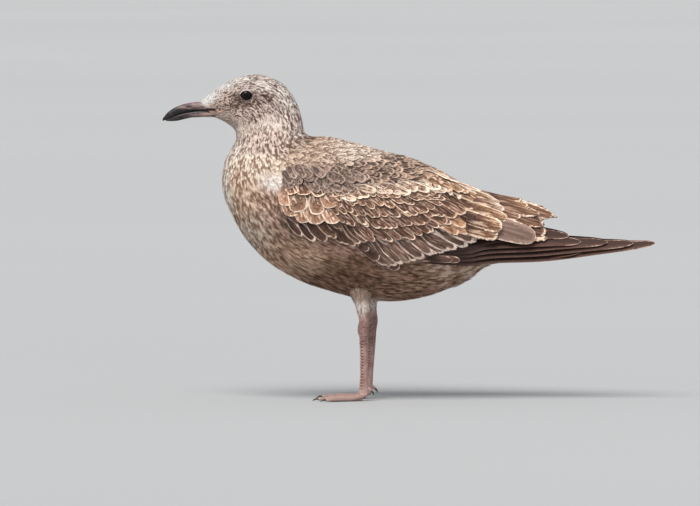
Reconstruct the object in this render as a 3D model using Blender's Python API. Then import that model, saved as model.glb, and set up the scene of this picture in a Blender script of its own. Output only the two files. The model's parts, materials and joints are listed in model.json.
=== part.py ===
"""A young herring gull standing at rest, life size: metres, +Z up, the bill towards -X.

The origin is on the floor, under the middle of the bird's overall box. The left side is -Y.
The body is one loft through slanting sections, parted with thin cuts into head, neck, trunk and
rump. Feathered plates and separate long feathers lie on it, and each socket is cut a little
larger than the piece that sits in it.
"""

import math

import bmesh
import bpy
from mathutils import Vector
from mathutils.bvhtree import BVHTree

MM = 0.001
GAP = 0.3 * MM  # air between two neighbouring solids
SIDES = {"left": -1, "right": 1}

# The body's sections: top point (x, z), bottom point (x, z), half width, and how much wider the
# section is below its middle than above. All in millimetres.
BODY = {
    "bill base": ((-236.0, 341.5), (-223.0, 325.0), 8.5, 0.0),
    "forehead": ((-224.5, 354.0), (-215.0, 321.5), 13.5, 0.06),
    "lore": ((-210.5, 365.0), (-206.0, 316.0), 18.0, 0.10),
    "eye": ((-194.0, 372.0), (-200.5, 310.5), 21.5, 0.12),
    "crown": ((-175.5, 374.5), (-198.5, 305.5), 24.5, 0.14),
    "ear": ((-157.0, 371.0), (-198.5, 300.5), 27.5, 0.12),
    "back of head": ((-140.0, 360.0), (-201.0, 295.5), 29.5, 0.08),
    "nape": ((-128.5, 343.0), (-205.0, 288.5), 31.5, 0.04),
    "mid neck": ((-122.5, 325.0), (-209.5, 280.5), 35.0, 0.0),
    "neck root": ((-119.0, 309.0), (-213.0, 270.0), 40.5, 0.0),
    "shoulder": ((-113.0, 304.5), (-215.5, 253.0), 47.0, 0.0),
    "upper breast": ((-106.5, 304.0), (-213.0, 235.0), 52.5, 0.0),
    "mid breast": ((-98.5, 304.0), (-204.0, 213.0), 57.0, 0.0),
    "lower breast": ((-88.0, 303.0), (-187.0, 184.0), 60.0, 0.0),
    "fore trunk": ((-76.0, 300.5), (-160.0, 156.5), 61.5, 0.02),
    "keel": ((-59.0, 296.0), (-125.0, 136.0), 62.0, 0.04),
    "mid trunk": ((-38.0, 290.0), (-88.0, 123.5), 61.5, 0.05),
    "belly": ((-12.0, 283.0), (-52.0, 114.5), 60.0, 0.05),
    "loin": ((15.0, 274.0), (-16.0, 112.5), 57.0, 0.04),
    "hind belly": ((42.0, 261.0), (18.0, 117.5), 51.5, 0.02),
    "hip": ((66.0, 245.5), (47.0, 127.5), 43.5, 0.0),
    "rump": ((88.0, 230.0), (70.0, 139.5), 34.5, 0.0),
    "vent": ((108.0, 213.0), (88.0, 153.5), 26.0, 0.0),
    "tail coverts": ((127.0, 196.5), (107.0, 159.5), 17.5, 0.0),
    "end of coverts": ((143.0, 184.5), (127.0, 163.5), 9.0, 0.0),
}
STATIONS = list(BODY)
BODY_SIDES = 16

# The line between the two halves of the bill, and the outlines above and below it: (x, z).
MOUTH_LINE = ((-208.0, 334.0), (-224.0, 333.6), (-242.0, 333.8), (-258.0, 331.2), (-267.5, 328.2),
              (-274.5, 324.8), (-284.0, 320.0))
CULMEN = ((-208.0, 342.0), (-226.0, 343.4), (-240.0, 343.8), (-252.0, 343.0), (-262.0, 340.6),
          (-270.0, 337.4), (-276.0, 332.6), (-280.4, 326.6), (-282.7, 321.8))
BILL_FLOOR = ((-208.0, 325.6), (-224.0, 325.2), (-236.0, 325.6), (-248.0, 324.6), (-256.0, 322.9),
              (-263.0, 321.3), (-271.0, 321.0), (-277.5, 322.7))
UPPER_BILL_HALF_WIDTH = ((-208.0, 8.0), (-230.0, 7.0), (-250.0, 5.4), (-268.0, 4.3), (-278.0, 3.0),
                         (-282.7, 0.7))
LOWER_BILL_HALF_WIDTH = ((-208.0, 7.4), (-230.0, 6.3), (-250.0, 4.6), (-266.0, 3.7), (-277.5, 1.2))
HOOK_X, LOWER_TIP_X, BILL_ROOT_X = -282.7, -277.5, -210.0
NOSTRIL = Vector((-251.5, 0.0, 337.6))
NOSTRIL_SIZE = Vector((7.5, 3.6, 1.9))
NOSTRIL_DEPTH = 1.2

EYE_CENTRE = Vector((-186.3, 14.1, 350.6))
EYE_RADIUS = 8.4

# The folded wing seen from the side: the lower and upper edge of the covert plate, and of the
# shoulder-feather plate above it, each from front to back as (x, z).
COVERT_LOWER = ((-147.0, 212.0), (-131.0, 193.0), (-112.0, 185.5), (-75.0, 181.0), (-51.0, 177.0),
                (-34.0, 163.5), (-18.0, 154.5), (2.0, 154.5), (20.0, 162.5), (45.0, 170.0),
                (72.0, 178.0), (100.0, 192.0))
COVERT_UPPER = ((-150.0, 236.0), (-132.0, 243.0), (-100.0, 243.5), (-60.0, 243.0), (-20.0, 242.5),
                (20.0, 241.5), (50.0, 239.0), (72.0, 234.0), (88.0, 226.0), (103.0, 212.0))
SHOULDER_LOWER = ((-133.0, 254.0), (-114.0, 240.0), (-80.0, 238.0), (-30.0, 237.5), (20.0, 236.4),
                  (50.0, 233.8), (72.0, 228.0), (86.0, 224.0))
SHOULDER_UPPER = ((-131.0, 268.0), (-110.0, 285.0), (-80.0, 291.0), (-40.0, 284.0), (0.0, 273.0),
                  (38.0, 257.0), (66.0, 242.5), (84.0, 231.5))
PLATE_COLUMNS, PLATE_ROWS = 13, 4

# Long feathers as (root, bend, tip) of the shaft and the width, for the left wing with y taken
# outwards. The longest primary lies innermost, and each shorter one a layer further out.
TERTIALS = {
    "1": (((66.0, 10.5, 236.0), (120.0, 13.5, 227.0), (171.0, 12.0, 211.5)), 27.0),
    "2": (((60.0, 24.0, 219.0), (112.0, 26.5, 206.0), (163.0, 22.5, 191.0)), 26.0),
    "3": (((56.0, 33.5, 205.5), (100.0, 36.0, 198.0), (145.0, 31.0, 188.5)), 29.0),
}
TERTIAL_ACROSS = {"1": Vector((0.06, 0.84, -0.54)), "2": Vector((0.08, 0.50, -0.86)),
                  "3": Vector((0.10, 0.24, -0.96))}
TERTIAL_THICKNESS = 1.4
PRIMARIES = {
    "10": (((70.0, 29.5, 179.0), (160.0, 18.6, 179.3), (283.0, 6.5, 180.5)), 20.0),
    "9": (((70.0, 29.5, 179.5), (150.0, 19.8, 181.3), (259.0, 8.6, 180.2)), 20.0),
    "8": (((70.0, 29.5, 180.0), (140.0, 21.0, 184.0), (229.0, 11.0, 181.2)), 20.0),
    "7": (((70.0, 29.5, 180.5), (130.0, 22.2, 187.0), (197.0, 14.4, 183.5)), 20.0),
}
QUILL_POCKET = ((65.0, 29.4, 180.0), (110.0, 24.2, 182.5), (150.0, 19.0, 183.5))
QUILL_POCKET_WIDTH, QUILL_POCKET_DEPTH = 48.0, 15.0
PRIMARY_ACROSS = Vector((0.03, 0.42, -0.90))
PRIMARY_THICKNESS = 1.2
PRIMARY_LAYER = 2.0  # from one primary to the next, outwards
FEATHER_COLUMNS = 3
WING_TIP_LIFT = {"left": 0.0, "right": 3.0}  # the far wing's tip lies a little higher
TAIL_SHAFT = ((96.0, 0.0, 170.5), (150.0, 0.0, 166.4), (211.0, 0.0, 166.8))
TAIL_WIDTH, TAIL_THICKNESS, TAIL_CAMBER = 52.0, 2.8, 2.6

# Legs, for the left side with y taken outwards: the joints' places, and radii along each bone.
LEGS = {
    "left": {"hip": (-58.0, 27.0, 122.0), "ankle": (-51.0, 25.5, 78.0), "foot": (-51.0, 24.0, 8.0)},
    "right": {"hip": (-49.0, 27.0, 122.0), "ankle": (-42.5, 25.5, 80.0), "foot": (-46.5, 24.0, 8.0)},
}
THIGH_END_Z = 104.0
TOE_SPREAD = {"inner": 21.0, "middle": -3.0, "outer": -25.0}  # degrees off straight ahead, inwards
TOE_LENGTH = {"inner": 40.0, "middle": 50.0, "outer": 47.0}
TOE_ROOT_PITCH = 2.6  # from one toe's root to the next
TOE_HALF_WIDTH, TOE_HEIGHT = 2.9, 5.0
WEB_THICKNESS, WEB_FLOOR, WEB_HOLLOW = 1.2, 0.5, 0.17
CLAW_LENGTH = 6.5
CLAW_RADIUS = 1.45
HIND_TOE = ((2.6, 0.0, 15.0), (6.2, -0.4, 13.2), (8.4, -0.6, 11.4))  # from the foot's place
HIND_CLAW = ((8.7, -0.6, 11.0), (10.2, -0.7, 9.0), (10.5, -0.7, 6.9))


def clear_scene():
    for obj in list(bpy.data.objects):
        bpy.data.objects.remove(obj)


def collection(name, hidden=False):
    made = bpy.data.collections.new(name)
    bpy.context.scene.collection.children.link(made)
    made.hide_render = hidden
    return made


def material(name, colour, roughness):
    made = bpy.data.materials.new(name)
    made.use_nodes = True
    shader = made.node_tree.nodes["Principled BSDF"]
    shader.inputs["Base Color"].default_value = (*colour, 1.0)
    shader.inputs["Roughness"].default_value = roughness
    return made


def smooth_value(points, t):
    """A Catmull-Rom curve through the points, each a list of numbers, at t = 0 .. 1."""
    last = len(points) - 1
    place = min(max(t, 0.0), 1.0) * last
    i = min(int(place), last - 1)
    f = place - i
    rows = [points[min(max(k, 0), last)] for k in (i - 1, i, i + 1, i + 2)]
    return [
        0.5 * (2 * b + (c - a) * f + (2 * a - 5 * b + 4 * c - d) * f ** 2 + (3 * b - a - 3 * c + d) * f ** 3)
        for a, b, c, d in zip(*rows)
    ]


def value_at(outline, x):
    """The outline's second number at x, with straight runs between its points, which follow x."""
    rows = sorted(outline)
    for (x0, z0), (x1, z1) in zip(rows, rows[1:]):
        if x <= x1:
            return z0 + (z1 - z0) * max(0.0, (x - x0) / (x1 - x0))
    return rows[-1][1]


def loft(rings, strip_caps=False):
    """A closed mesh through rings of points, its two ends capped, all in millimetres."""
    mesh = bmesh.new()
    rows = [[mesh.verts.new(Vector(p) * MM) for p in ring] for ring in rings]
    count = len(rows[0])
    for low, high in zip(rows, rows[1:]):
        for k in range(count):
            after = (k + 1) % count
            mesh.faces.new((low[k], low[after], high[after], high[k]))
    for row in (rows[0][::-1], rows[-1]):
        if strip_caps:
            for k in range(count // 2 - 1):
                mesh.faces.new((row[k], row[k + 1], row[-2 - k], row[-1 - k]))
        else:
            mesh.faces.new(row)
    bmesh.ops.triangulate(mesh, faces=mesh.faces)
    if mesh.calc_volume(signed=True) < 0:
        bmesh.ops.reverse_faces(mesh, faces=mesh.faces)
    return mesh


def place_object(name, mesh, group, finish):
    """The mesh as a named object in the group, smooth but for its sharp edges."""
    data = bpy.data.meshes.new(name)
    mesh.to_mesh(data)
    mesh.free()
    data.materials.append(finish)
    data.shade_smooth()
    data.set_sharp_from_angle(angle=math.radians(40))
    obj = bpy.data.objects.new(name, data)
    group.objects.link(obj)
    return obj


def grown(obj, cutters, by=GAP):
    """A hidden copy of the piece, pushed out along its own normals, that cuts its socket."""
    mesh = bmesh.new()
    mesh.from_mesh(obj.data)
    mesh.normal_update()
    moves = [(v, v.normal * v.calc_shell_factor() * by) for v in mesh.verts]
    for vertex, move in moves:
        vertex.co += move if move.length < 3 * by else move.normalized() * 3 * by
    cutter = place_object(f"cut_for_{obj.name}", mesh, cutters, obj.data.materials[0])
    cutter.hide_render = True
    cutter.display_type = "WIRE"
    return cutter


def carve(target, *tools):
    for tool in tools:
        cut = target.modifiers.new(f"room for {tool.name}", "BOOLEAN")
        cut.operation = "DIFFERENCE"
        cut.solver = "EXACT"
        cut.object = tool


def body_section(place):
    """Top, bottom, half width and fullness of the body's section at a station number."""
    rows = [[*top, *bottom, half, full] for top, bottom, half, full in BODY.values()]
    x0, z0, x1, z1, half, full = smooth_value(rows, place / (len(rows) - 1))
    return Vector((x0, 0, z0)), Vector((x1, 0, z1)), half, full


def body_ring(place, shift=0.0):
    """The ring of points round the body at a station number, moved along its own plane's normal."""
    top, bottom, half, full = body_section(place)
    middle, rise = (top + bottom) / 2, (top - bottom) / 2
    along = rise.normalized().cross(Vector((0, 1, 0))) * -1
    ring = []
    for k in range(BODY_SIDES):
        angle = 2 * math.pi * k / BODY_SIDES
        width = half * math.cos(angle) * (1 - full * math.sin(angle))
        ring.append(middle + rise * math.sin(angle) + Vector((0, width, 0)) + along * shift)
    return ring


def body_part(name, first, last, steps, group, finish):
    """The body between two named stations, its ends drawn in by half a gap for the thin cut."""
    start, stop = STATIONS.index(first), STATIONS.index(last)
    places = [start + (stop - start) * i / steps for i in range(steps + 1)]
    half_cut = GAP / MM / 2
    shifts = [half_cut, *[0.0] * (steps - 1), -half_cut]
    rings = [body_ring(place, shift) for place, shift in zip(places, shifts)]
    return place_object(name, loft(rings), group, finish)


def body_tree():
    """The whole body as a search tree, for laying the wing on its side."""
    steps = 4 * (len(STATIONS) - 1)
    mesh = loft([body_ring(i / 4) for i in range(steps + 1)])
    tree = BVHTree.FromBMesh(mesh)
    mesh.free()
    return tree


def flank(tree, x, z):
    """The body's half width at a place in the side view, in millimetres."""
    hit = tree.ray_cast(Vector((x * MM, 0.3, z * MM)), Vector((0, -1, 0)))[0]
    return hit.y / MM if hit else 0.0


def flank_frame(tree, x, z, step=5.0):
    """The point on the body's side at (x, z), y taken outwards, and the smooth normal there."""
    slope_x = (flank(tree, x + step, z) - flank(tree, x - step, z)) / (2 * step)
    slope_z = (flank(tree, x, z + step) - flank(tree, x, z - step)) / (2 * step)
    normal = Vector((-max(-1.5, min(1.5, slope_x)), 1.0, -max(-1.5, min(1.5, slope_z))))
    return Vector((x, flank(tree, x, z), z)), normal.normalized()


def outwards(point, side):
    return Vector((point.x, side * point.y, point.z))


def plate(name, tree, side, lower, upper, edge, crown, tuck, group, finish):
    """A domed plate of feathers on the body's side, between a lower and an upper edge line."""
    low, high = [list(p) for p in lower], [list(p) for p in upper]
    rings = []
    for i in range(PLATE_COLUMNS + 1):
        u = i / PLATE_COLUMNS
        x0, z0 = smooth_value(low, u)
        x1, z1 = smooth_value(high, u)
        outer, inner = [], []
        for j in range(PLATE_ROWS + 1):
            v = j / PLATE_ROWS
            x = x0 + (x1 - x0) * v
            point, normal = flank_frame(tree, x, z0 + (z1 - z0) * v)
            dome = math.sin(math.pi * j / PLATE_ROWS) ** 0.6 * math.sin(math.pi * (0.1 + 0.85 * u)) ** 0.5
            rise = edge * (1 - 0.7 * j / PLATE_ROWS) + crown * dome
            outer.append(outwards(point + normal * rise, side))
            if j % PLATE_ROWS == 0:
                inner.append(outwards(point - normal * tuck, side))
        rings.append(outer + inner[::-1])
    return place_object(name, loft(rings), group, finish)


def vane_width(t):
    """A long feather's relative width from root 0 to tip 1."""
    return (0.55 + 0.45 * min(1.0, t / 0.3)) * max(0.0, 1 - t ** 7) ** 0.5


def feather(name, side, shaft, width, across, thickness, group, finish,
            layer=0.0, camber=0.0, stations=7, lift=0.0):
    """One long feather as a thin vaulted blade along its shaft."""
    shaft = [list(p) for p in shaft]
    rings = []
    for i in range(stations + 1):
        t = 1 - (1 - i / stations) ** 1.6
        here = Vector(smooth_value(shaft, t)) + Vector((0, 0, lift * t))
        ahead = Vector(smooth_value(shaft, min(1.0, t + 0.02)))
        behind = Vector(smooth_value(shaft, max(0.0, t - 0.02)))
        along = (ahead - behind).normalized()
        side_way = (across - along * across.dot(along)).normalized()
        out = along.cross(side_way)
        out = out if out.y > 0 or (abs(out.y) < 1e-6 and out.z > 0) else -out
        half = max(0.6, 0.5 * width * vane_width(min(t, 0.985)))
        top, under = [], []
        for k in range(FEATHER_COLUMNS + 1):
            u = 2 * k / FEATHER_COLUMNS - 1
            vault = out * (layer + camber * (1 - (u * half * 2 / width) ** 2))
            thick = thickness * (0.45 + 0.55 * (1 - u * u))
            top.append(outwards(here + side_way * half * u + vault + out * thick / 2, side))
            under.append(outwards(here + side_way * half * u + vault - out * thick / 2, side))
        rings.append(top + under[::-1])
    return place_object(name, loft(rings), group, finish)


def tube(name, points, radii, group, finish, flatten=1.0, resolution=2):
    """A tapering round limb along the points: a bevelled curve made a mesh, its caps welded on."""
    curve = bpy.data.curves.new(name, "CURVE")
    curve.dimensions = "3D"
    curve.bevel_depth = 1.0
    curve.bevel_resolution = resolution
    curve.use_fill_caps = True
    spline = curve.splines.new("POLY")
    spline.points.add(len(points) - 1)
    for knot, point, radius in zip(spline.points, points, radii):
        knot.co = (*(Vector(point)), 1.0)
        knot.radius = radius
    guide = bpy.data.objects.new(name, curve)
    group.objects.link(guide)
    bpy.context.view_layer.update()
    graph = bpy.context.evaluated_depsgraph_get()
    data = bpy.data.meshes.new_from_object(guide.evaluated_get(graph))
    mesh = bmesh.new()
    mesh.from_mesh(data)
    bpy.data.objects.remove(guide)
    bpy.data.meshes.remove(data)
    bmesh.ops.remove_doubles(mesh, verts=mesh.verts, dist=0.02)
    middle = sum((Vector(p) for p in points), Vector()) / len(points)
    for vertex in mesh.verts:
        vertex.co.y = middle.y + (vertex.co.y - middle.y) * flatten
        vertex.co *= MM
    bmesh.ops.recalc_face_normals(mesh, faces=mesh.faces)
    return place_object(name, mesh, group, finish)


def limb_points(stops, count):
    rows = [list(p) for p in stops]
    return [Vector(smooth_value(rows, i / (count - 1))) for i in range(count)]


def bill_half(name, top, floor, half_width, x_root, x_tip, group, finish):
    """One half of the bill: upright sections with a rounded ridge on their free side."""
    rings, steps = [], 10
    for i in range(steps + 1):
        x = x_root + (x_tip - x_root) * (1 - (1 - i / steps) ** 1.5)
        high, low, half = top(x), floor(x), value_at(half_width, x)
        middle, rise = (high + low) / 2, max(0.35, (high - low) / 2)
        ring = []
        for k in range(10):
            angle = 2 * math.pi * (k + 0.5) / 10
            y = half * math.copysign(abs(math.cos(angle)) ** 0.8, math.cos(angle))
            z = middle + rise * math.copysign(abs(math.sin(angle)) ** 0.8, math.sin(angle))
            ring.append(Vector((x, y, z)))
        rings.append(ring)
    return place_object(name, loft(rings), group, finish)


def make_bill(parts, cutters, horn):
    half_gap = GAP / MM / 2
    curves = {"culmen": sorted(CULMEN), "mouth": sorted(MOUTH_LINE), "floor": sorted(BILL_FLOOR)}
    read = {key: (lambda x, rows=rows: value_at(rows, x)) for key, rows in curves.items()}
    upper = bill_half("bill_upper", read["culmen"], lambda x: read["mouth"](x) + half_gap,
                      UPPER_BILL_HALF_WIDTH, BILL_ROOT_X, HOOK_X, parts, horn)
    lower = bill_half("bill_lower", lambda x: read["mouth"](x) - half_gap, read["floor"],
                      LOWER_BILL_HALF_WIDTH, BILL_ROOT_X, LOWER_TIP_X, parts, horn)
    for name, side in SIDES.items():
        slot = bmesh.new()
        bmesh.ops.create_uvsphere(slot, u_segments=10, v_segments=6, radius=0.5)
        reach = value_at(UPPER_BILL_HALF_WIDTH, NOSTRIL.x) + NOSTRIL_SIZE.y / 2 - NOSTRIL_DEPTH
        for vertex in slot.verts:
            spread = Vector((vertex.co.x * NOSTRIL_SIZE.x, vertex.co.y * NOSTRIL_SIZE.y,
                             vertex.co.z * NOSTRIL_SIZE.z))
            vertex.co = (NOSTRIL + spread + Vector((0, side * reach, 0))) * MM
        tool = place_object(f"nostril_{name}", slot, cutters, horn)
        tool.hide_render = True
        tool.display_type = "WIRE"
        carve(upper, tool)
    return upper, lower


def make_eyes(parts, finish):
    eyes = []
    for name, side in SIDES.items():
        ball = bmesh.new()
        bmesh.ops.create_uvsphere(ball, u_segments=12, v_segments=8, radius=EYE_RADIUS * MM)
        for vertex in ball.verts:
            vertex.co += outwards(EYE_CENTRE, side) * MM
        eyes.append(place_object(f"eye_{name}", ball, parts, finish))
    return eyes


def foot_section(f, side, hub):
    """One section of the webbed foot, a fraction f of the way out to the toes' ends."""
    top, sole = [], []
    for i, toe in enumerate(TOE_SPREAD):
        turn = math.radians(TOE_SPREAD[toe])
        way = Vector((-math.cos(turn), -math.sin(turn), 0))
        across = Vector((way.y, -way.x, 0))
        line = hub + Vector((0, (1 - i) * -TOE_ROOT_PITCH, 0)) + way * TOE_LENGTH[toe] * f
        half = TOE_HALF_WIDTH * (0.62 + 0.38 * min(1.0, f / 0.3)) * (1 - 0.18 * f)
        height = TOE_HEIGHT * (1.0 - 0.22 * f) + 2.6 * max(0.0, 1 - f / 0.3) ** 2
        for u, rise in ((-1.0, 0.42), (-0.45, 0.95), (0.45, 0.95), (1.0, 0.42)):
            top.append(line + across * half * u + Vector((0, 0, height * rise)))
            sole.append(line + across * half * u * 0.75)
        if i < 2:
            after = math.radians(list(TOE_SPREAD.values())[i + 1])
            reach = (TOE_LENGTH[toe] + list(TOE_LENGTH.values())[i + 1]) / 2
            middle = (turn + after) / 2
            way = Vector((-math.cos(middle), -math.sin(middle), 0))
            shift = Vector((0, (0.5 - i) * -TOE_ROOT_PITCH, 0))
            web = hub + shift + way * reach * f * (1 - WEB_HOLLOW * f ** 2)
            top.append(web + Vector((0, 0, WEB_FLOOR + WEB_THICKNESS + 1.2 * (1 - f) ** 4)))
            sole.append(web + Vector((0, 0, WEB_FLOOR)))
    return [outwards(point, side) for point in (*top, *sole[::-1])]


def make_toes(name, side, foot, parts, finish, claw_finish):
    """Three front toes with their webs as one loft out from the tarsus, and the claws apart."""
    hub = Vector((foot.x, abs(foot.y), 0.0))
    rings = [foot_section(f, side, hub) for f in (-0.06, 0.08, 0.24, 0.5, 0.75, 0.9, 1.0)]
    for i, (toe, angle) in enumerate(TOE_SPREAD.items()):
        turn = math.radians(angle)
        way = Vector((-math.cos(turn), -math.sin(turn), 0))
        end = hub + Vector((0, (1 - i) * -TOE_ROOT_PITCH, 0)) + way * (TOE_LENGTH[toe] + 2 * GAP / MM)
        stops = (end + Vector((0, 0, 1.75)), end + way * CLAW_LENGTH * 0.5 + Vector((0, 0, 1.9)),
                 end + way * CLAW_LENGTH + Vector((0, 0, 0.55)))
        tube(f"claw_{name}_{toe}", [outwards(p, side) for p in limb_points(stops, 4)],
             [CLAW_RADIUS, 1.15, 0.8, 0.35], parts, claw_finish, resolution=1)
    return place_object(f"foot_{name}", loft(rings, strip_caps=True), parts, finish)


def make_leg(name, side, parts, cutters, skin, down, claw):
    """Thigh, bare tibia, tarsus, hind toe, webbed foot and claws of one leg."""
    place = {key: outwards(Vector(p), side) for key, p in LEGS[name].items()}
    hip, ankle, foot = place["hip"], place["ankle"], place["foot"]
    knee = hip.lerp(ankle, (hip.z - THIGH_END_Z) / (hip.z - ankle.z))
    thigh = tube(f"thigh_{name}", limb_points((hip, knee), 4), [12.5, 11.5, 9.0, 6.6], parts, down,
                 flatten=0.95, resolution=3)
    above = knee + (ankle - knee).normalized() * (2 * GAP / MM)
    heel = ankle + Vector((1.2, 0, 0))
    tarsus_top = ankle + Vector((0.3, 0, -7.5))
    tibia = tube(f"tibia_{name}", [above, above.lerp(ankle, 0.5), above.lerp(ankle, 0.78), heel,
                                   tarsus_top],
                 [4.6, 4.3, 5.4, 7.0, 5.2], parts, skin, flatten=0.8)
    low = foot + Vector((0, 0, 7.0))
    start = tarsus_top - Vector((0, 0, 2 * GAP / MM))
    tarsus = tube(f"tarsus_{name}", [start, start.lerp(low, 0.25), start.lerp(low, 0.7), low,
                                     foot + Vector((-0.6, 0, 1.0))],
                  [5.1, 4.2, 4.0, 4.5, 4.9], parts, skin, flatten=0.8)
    hallux = tube(f"hind_toe_{name}", [foot + Vector(p) - Vector((0, 0, foot.z)) for p in HIND_TOE],
                  [2.1, 1.8, 1.4], parts, skin)
    tube(f"hind_claw_{name}", [foot + Vector(p) - Vector((0, 0, foot.z)) for p in HIND_CLAW],
         [1.2, 0.9, 0.35], parts, claw, resolution=1)
    webs = make_toes(name, side, foot, parts, skin, claw)
    carve(tarsus, grown(hallux, cutters))
    return thigh, tarsus, webs


def make_wing(name, side, tree, parts, cutters, finishes):
    """The folded wing: shoulder feathers, coverts, tertials and the four longest primaries."""
    coverts = plate(f"wing_{name}_coverts", tree, side, COVERT_LOWER, COVERT_UPPER, 3.4, 6.4, 3.0,
                    parts, finishes["wing"])
    shoulder = plate(f"wing_{name}_scapulars", tree, side, SHOULDER_LOWER, SHOULDER_UPPER, 5.0, 3.8,
                     4.4, parts, finishes["back"])
    tertials = [
        feather(f"wing_{name}_tertial_{key}", side, shaft, width, TERTIAL_ACROSS[key],
                TERTIAL_THICKNESS, parts, finishes["wing"], layer=2.4 * (int(key) - 1), camber=3.0)
        for key, (shaft, width) in TERTIALS.items()
    ]
    for key, (shaft, width) in PRIMARIES.items():
        feather(f"wing_{name}_primary_{key}", side, shaft, width, PRIMARY_ACROSS,
                PRIMARY_THICKNESS, parts, finishes["quill"], layer=PRIMARY_LAYER * (10 - int(key)),
                camber=1.2, stations=8, lift=WING_TIP_LIFT[name])
    return coverts, shoulder, tertials


def quill_pocket(name, side, cutters, finish):
    """One hollow for the roots of the wing's primaries, which lie stacked in it."""
    pocket = feather(f"quill_pocket_{name}", side, QUILL_POCKET, QUILL_POCKET_WIDTH,
                     PRIMARY_ACROSS, QUILL_POCKET_DEPTH, cutters, finish,
                     layer=1.5 * PRIMARY_LAYER, lift=WING_TIP_LIFT[name])
    pocket.hide_render = True
    pocket.display_type = "WIRE"
    return pocket


def build():
    clear_scene()
    parts, cutters = collection("gull"), collection("cutters", hidden=True)
    finishes = {
        "horn": material("bill horn", (0.05, 0.04, 0.045), 0.35),
        "eye": material("eye", (0.01, 0.008, 0.008), 0.05),
        "pale": material("head down", (0.62, 0.55, 0.47), 0.9),
        "breast": material("breast down", (0.42, 0.34, 0.27), 0.9),
        "back": material("back feathers", (0.36, 0.27, 0.2), 0.8),
        "wing": material("wing coverts", (0.3, 0.2, 0.14), 0.75),
        "quill": material("quills", (0.07, 0.05, 0.04), 0.6),
        "leg": material("leg skin", (0.55, 0.34, 0.32), 0.6),
        "claw": material("claws", (0.03, 0.025, 0.02), 0.35),
    }
    head = body_part("head", "bill base", "back of head", 9, parts, finishes["pale"])
    neck = body_part("neck", "back of head", "neck root", 4, parts, finishes["pale"])
    trunk = body_part("trunk", "neck root", "rump", 15, parts, finishes["breast"])
    rump = body_part("rump", "rump", "end of coverts", 4, parts, finishes["breast"])
    tree = body_tree()

    eyes = make_eyes(parts, finishes["eye"])
    bill = make_bill(parts, cutters, finishes["horn"])
    carve(head, *[grown(piece, cutters) for piece in (*eyes, *bill)])

    tail = feather("tail", 1, TAIL_SHAFT, TAIL_WIDTH, Vector((0, 1, 0)), TAIL_THICKNESS, parts,
                   finishes["quill"], camber=TAIL_CAMBER, stations=7)
    carve(rump, grown(tail, cutters))

    for name, side in SIDES.items():
        coverts, shoulder, tertials = make_wing(name, side, tree, parts, cutters, finishes)
        long_feathers = [grown(p, cutters) for p in tertials]
        long_feathers.append(quill_pocket(name, side, cutters, finishes["quill"]))
        plates = [grown(p, cutters) for p in (coverts, shoulder)]
        carve(coverts, *long_feathers, plates[1])
        carve(shoulder, *long_feathers)
        carve(trunk, *long_feathers, *plates)
        carve(rump, *long_feathers, *plates)
        thigh, tarsus, webs = make_leg(name, side, parts, cutters, finishes["leg"],
                                       finishes["breast"], finishes["claw"])
        carve(trunk, grown(thigh, cutters))
        carve(tarsus, grown(webs, cutters))


build()
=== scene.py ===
# %% [markdown]
# A young herring gull as a life-size museum model. This lesson dresses a imported CAD model of the
# bird: one smooth skin goes over its flesh, thousands of small solid feathers lie on the skin, and
# the bill, eyes, legs and long wing feathers are made one by one. The imported model is the fixed
# frame: it is loaded first.

# %% Load the frame
import json
import math

import bmesh
import bpy
import numpy as np
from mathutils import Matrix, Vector, noise
from mathutils.bvhtree import BVHTree
from mathutils.kdtree import KDTree

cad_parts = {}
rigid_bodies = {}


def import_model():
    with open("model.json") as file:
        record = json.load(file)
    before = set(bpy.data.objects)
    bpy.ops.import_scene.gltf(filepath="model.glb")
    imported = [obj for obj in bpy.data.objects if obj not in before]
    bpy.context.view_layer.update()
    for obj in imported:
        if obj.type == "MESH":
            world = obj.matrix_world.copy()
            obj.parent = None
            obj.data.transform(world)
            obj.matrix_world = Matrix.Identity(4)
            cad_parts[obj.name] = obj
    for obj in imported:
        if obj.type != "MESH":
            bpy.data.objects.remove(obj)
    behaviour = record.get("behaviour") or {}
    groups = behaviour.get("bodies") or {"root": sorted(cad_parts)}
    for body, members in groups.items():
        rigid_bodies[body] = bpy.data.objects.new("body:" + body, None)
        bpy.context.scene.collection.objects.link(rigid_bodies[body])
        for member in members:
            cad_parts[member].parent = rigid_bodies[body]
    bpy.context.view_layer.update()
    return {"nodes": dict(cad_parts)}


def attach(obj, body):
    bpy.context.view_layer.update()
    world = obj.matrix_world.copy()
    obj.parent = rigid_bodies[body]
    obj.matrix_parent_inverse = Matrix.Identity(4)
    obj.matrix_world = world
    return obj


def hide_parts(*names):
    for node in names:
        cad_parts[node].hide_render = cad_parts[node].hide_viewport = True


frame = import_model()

MM = 0.001
SIDES = {"left": -1.0, "right": 1.0}

# %% [markdown]
# The camera stands far off with a long lens, as a watcher of birds would, so the bird is seen
# almost without perspective, square from its left side and from slightly above its back. A wide
# floor fills the view behind it. One broad soft sun from above and an even sky stand for an
# overcast day or a studio with large soft boxes.

# %% Camera and light
LENS, SENSOR = 500.0, 36.0  # millimetres
VIEW_POINT, DISTANCE = Vector((-0.0673, 0.0, 0.169)), 11.18  # metres
CAMERA_RISE = 2.5  # degrees
SUN_POWER, SUN_WIDTH, SUN_WAY = 3.6, 35, Vector((0.25, 0.62, -1.0))  # width in degrees
SKY_POWER = 0.60


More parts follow.
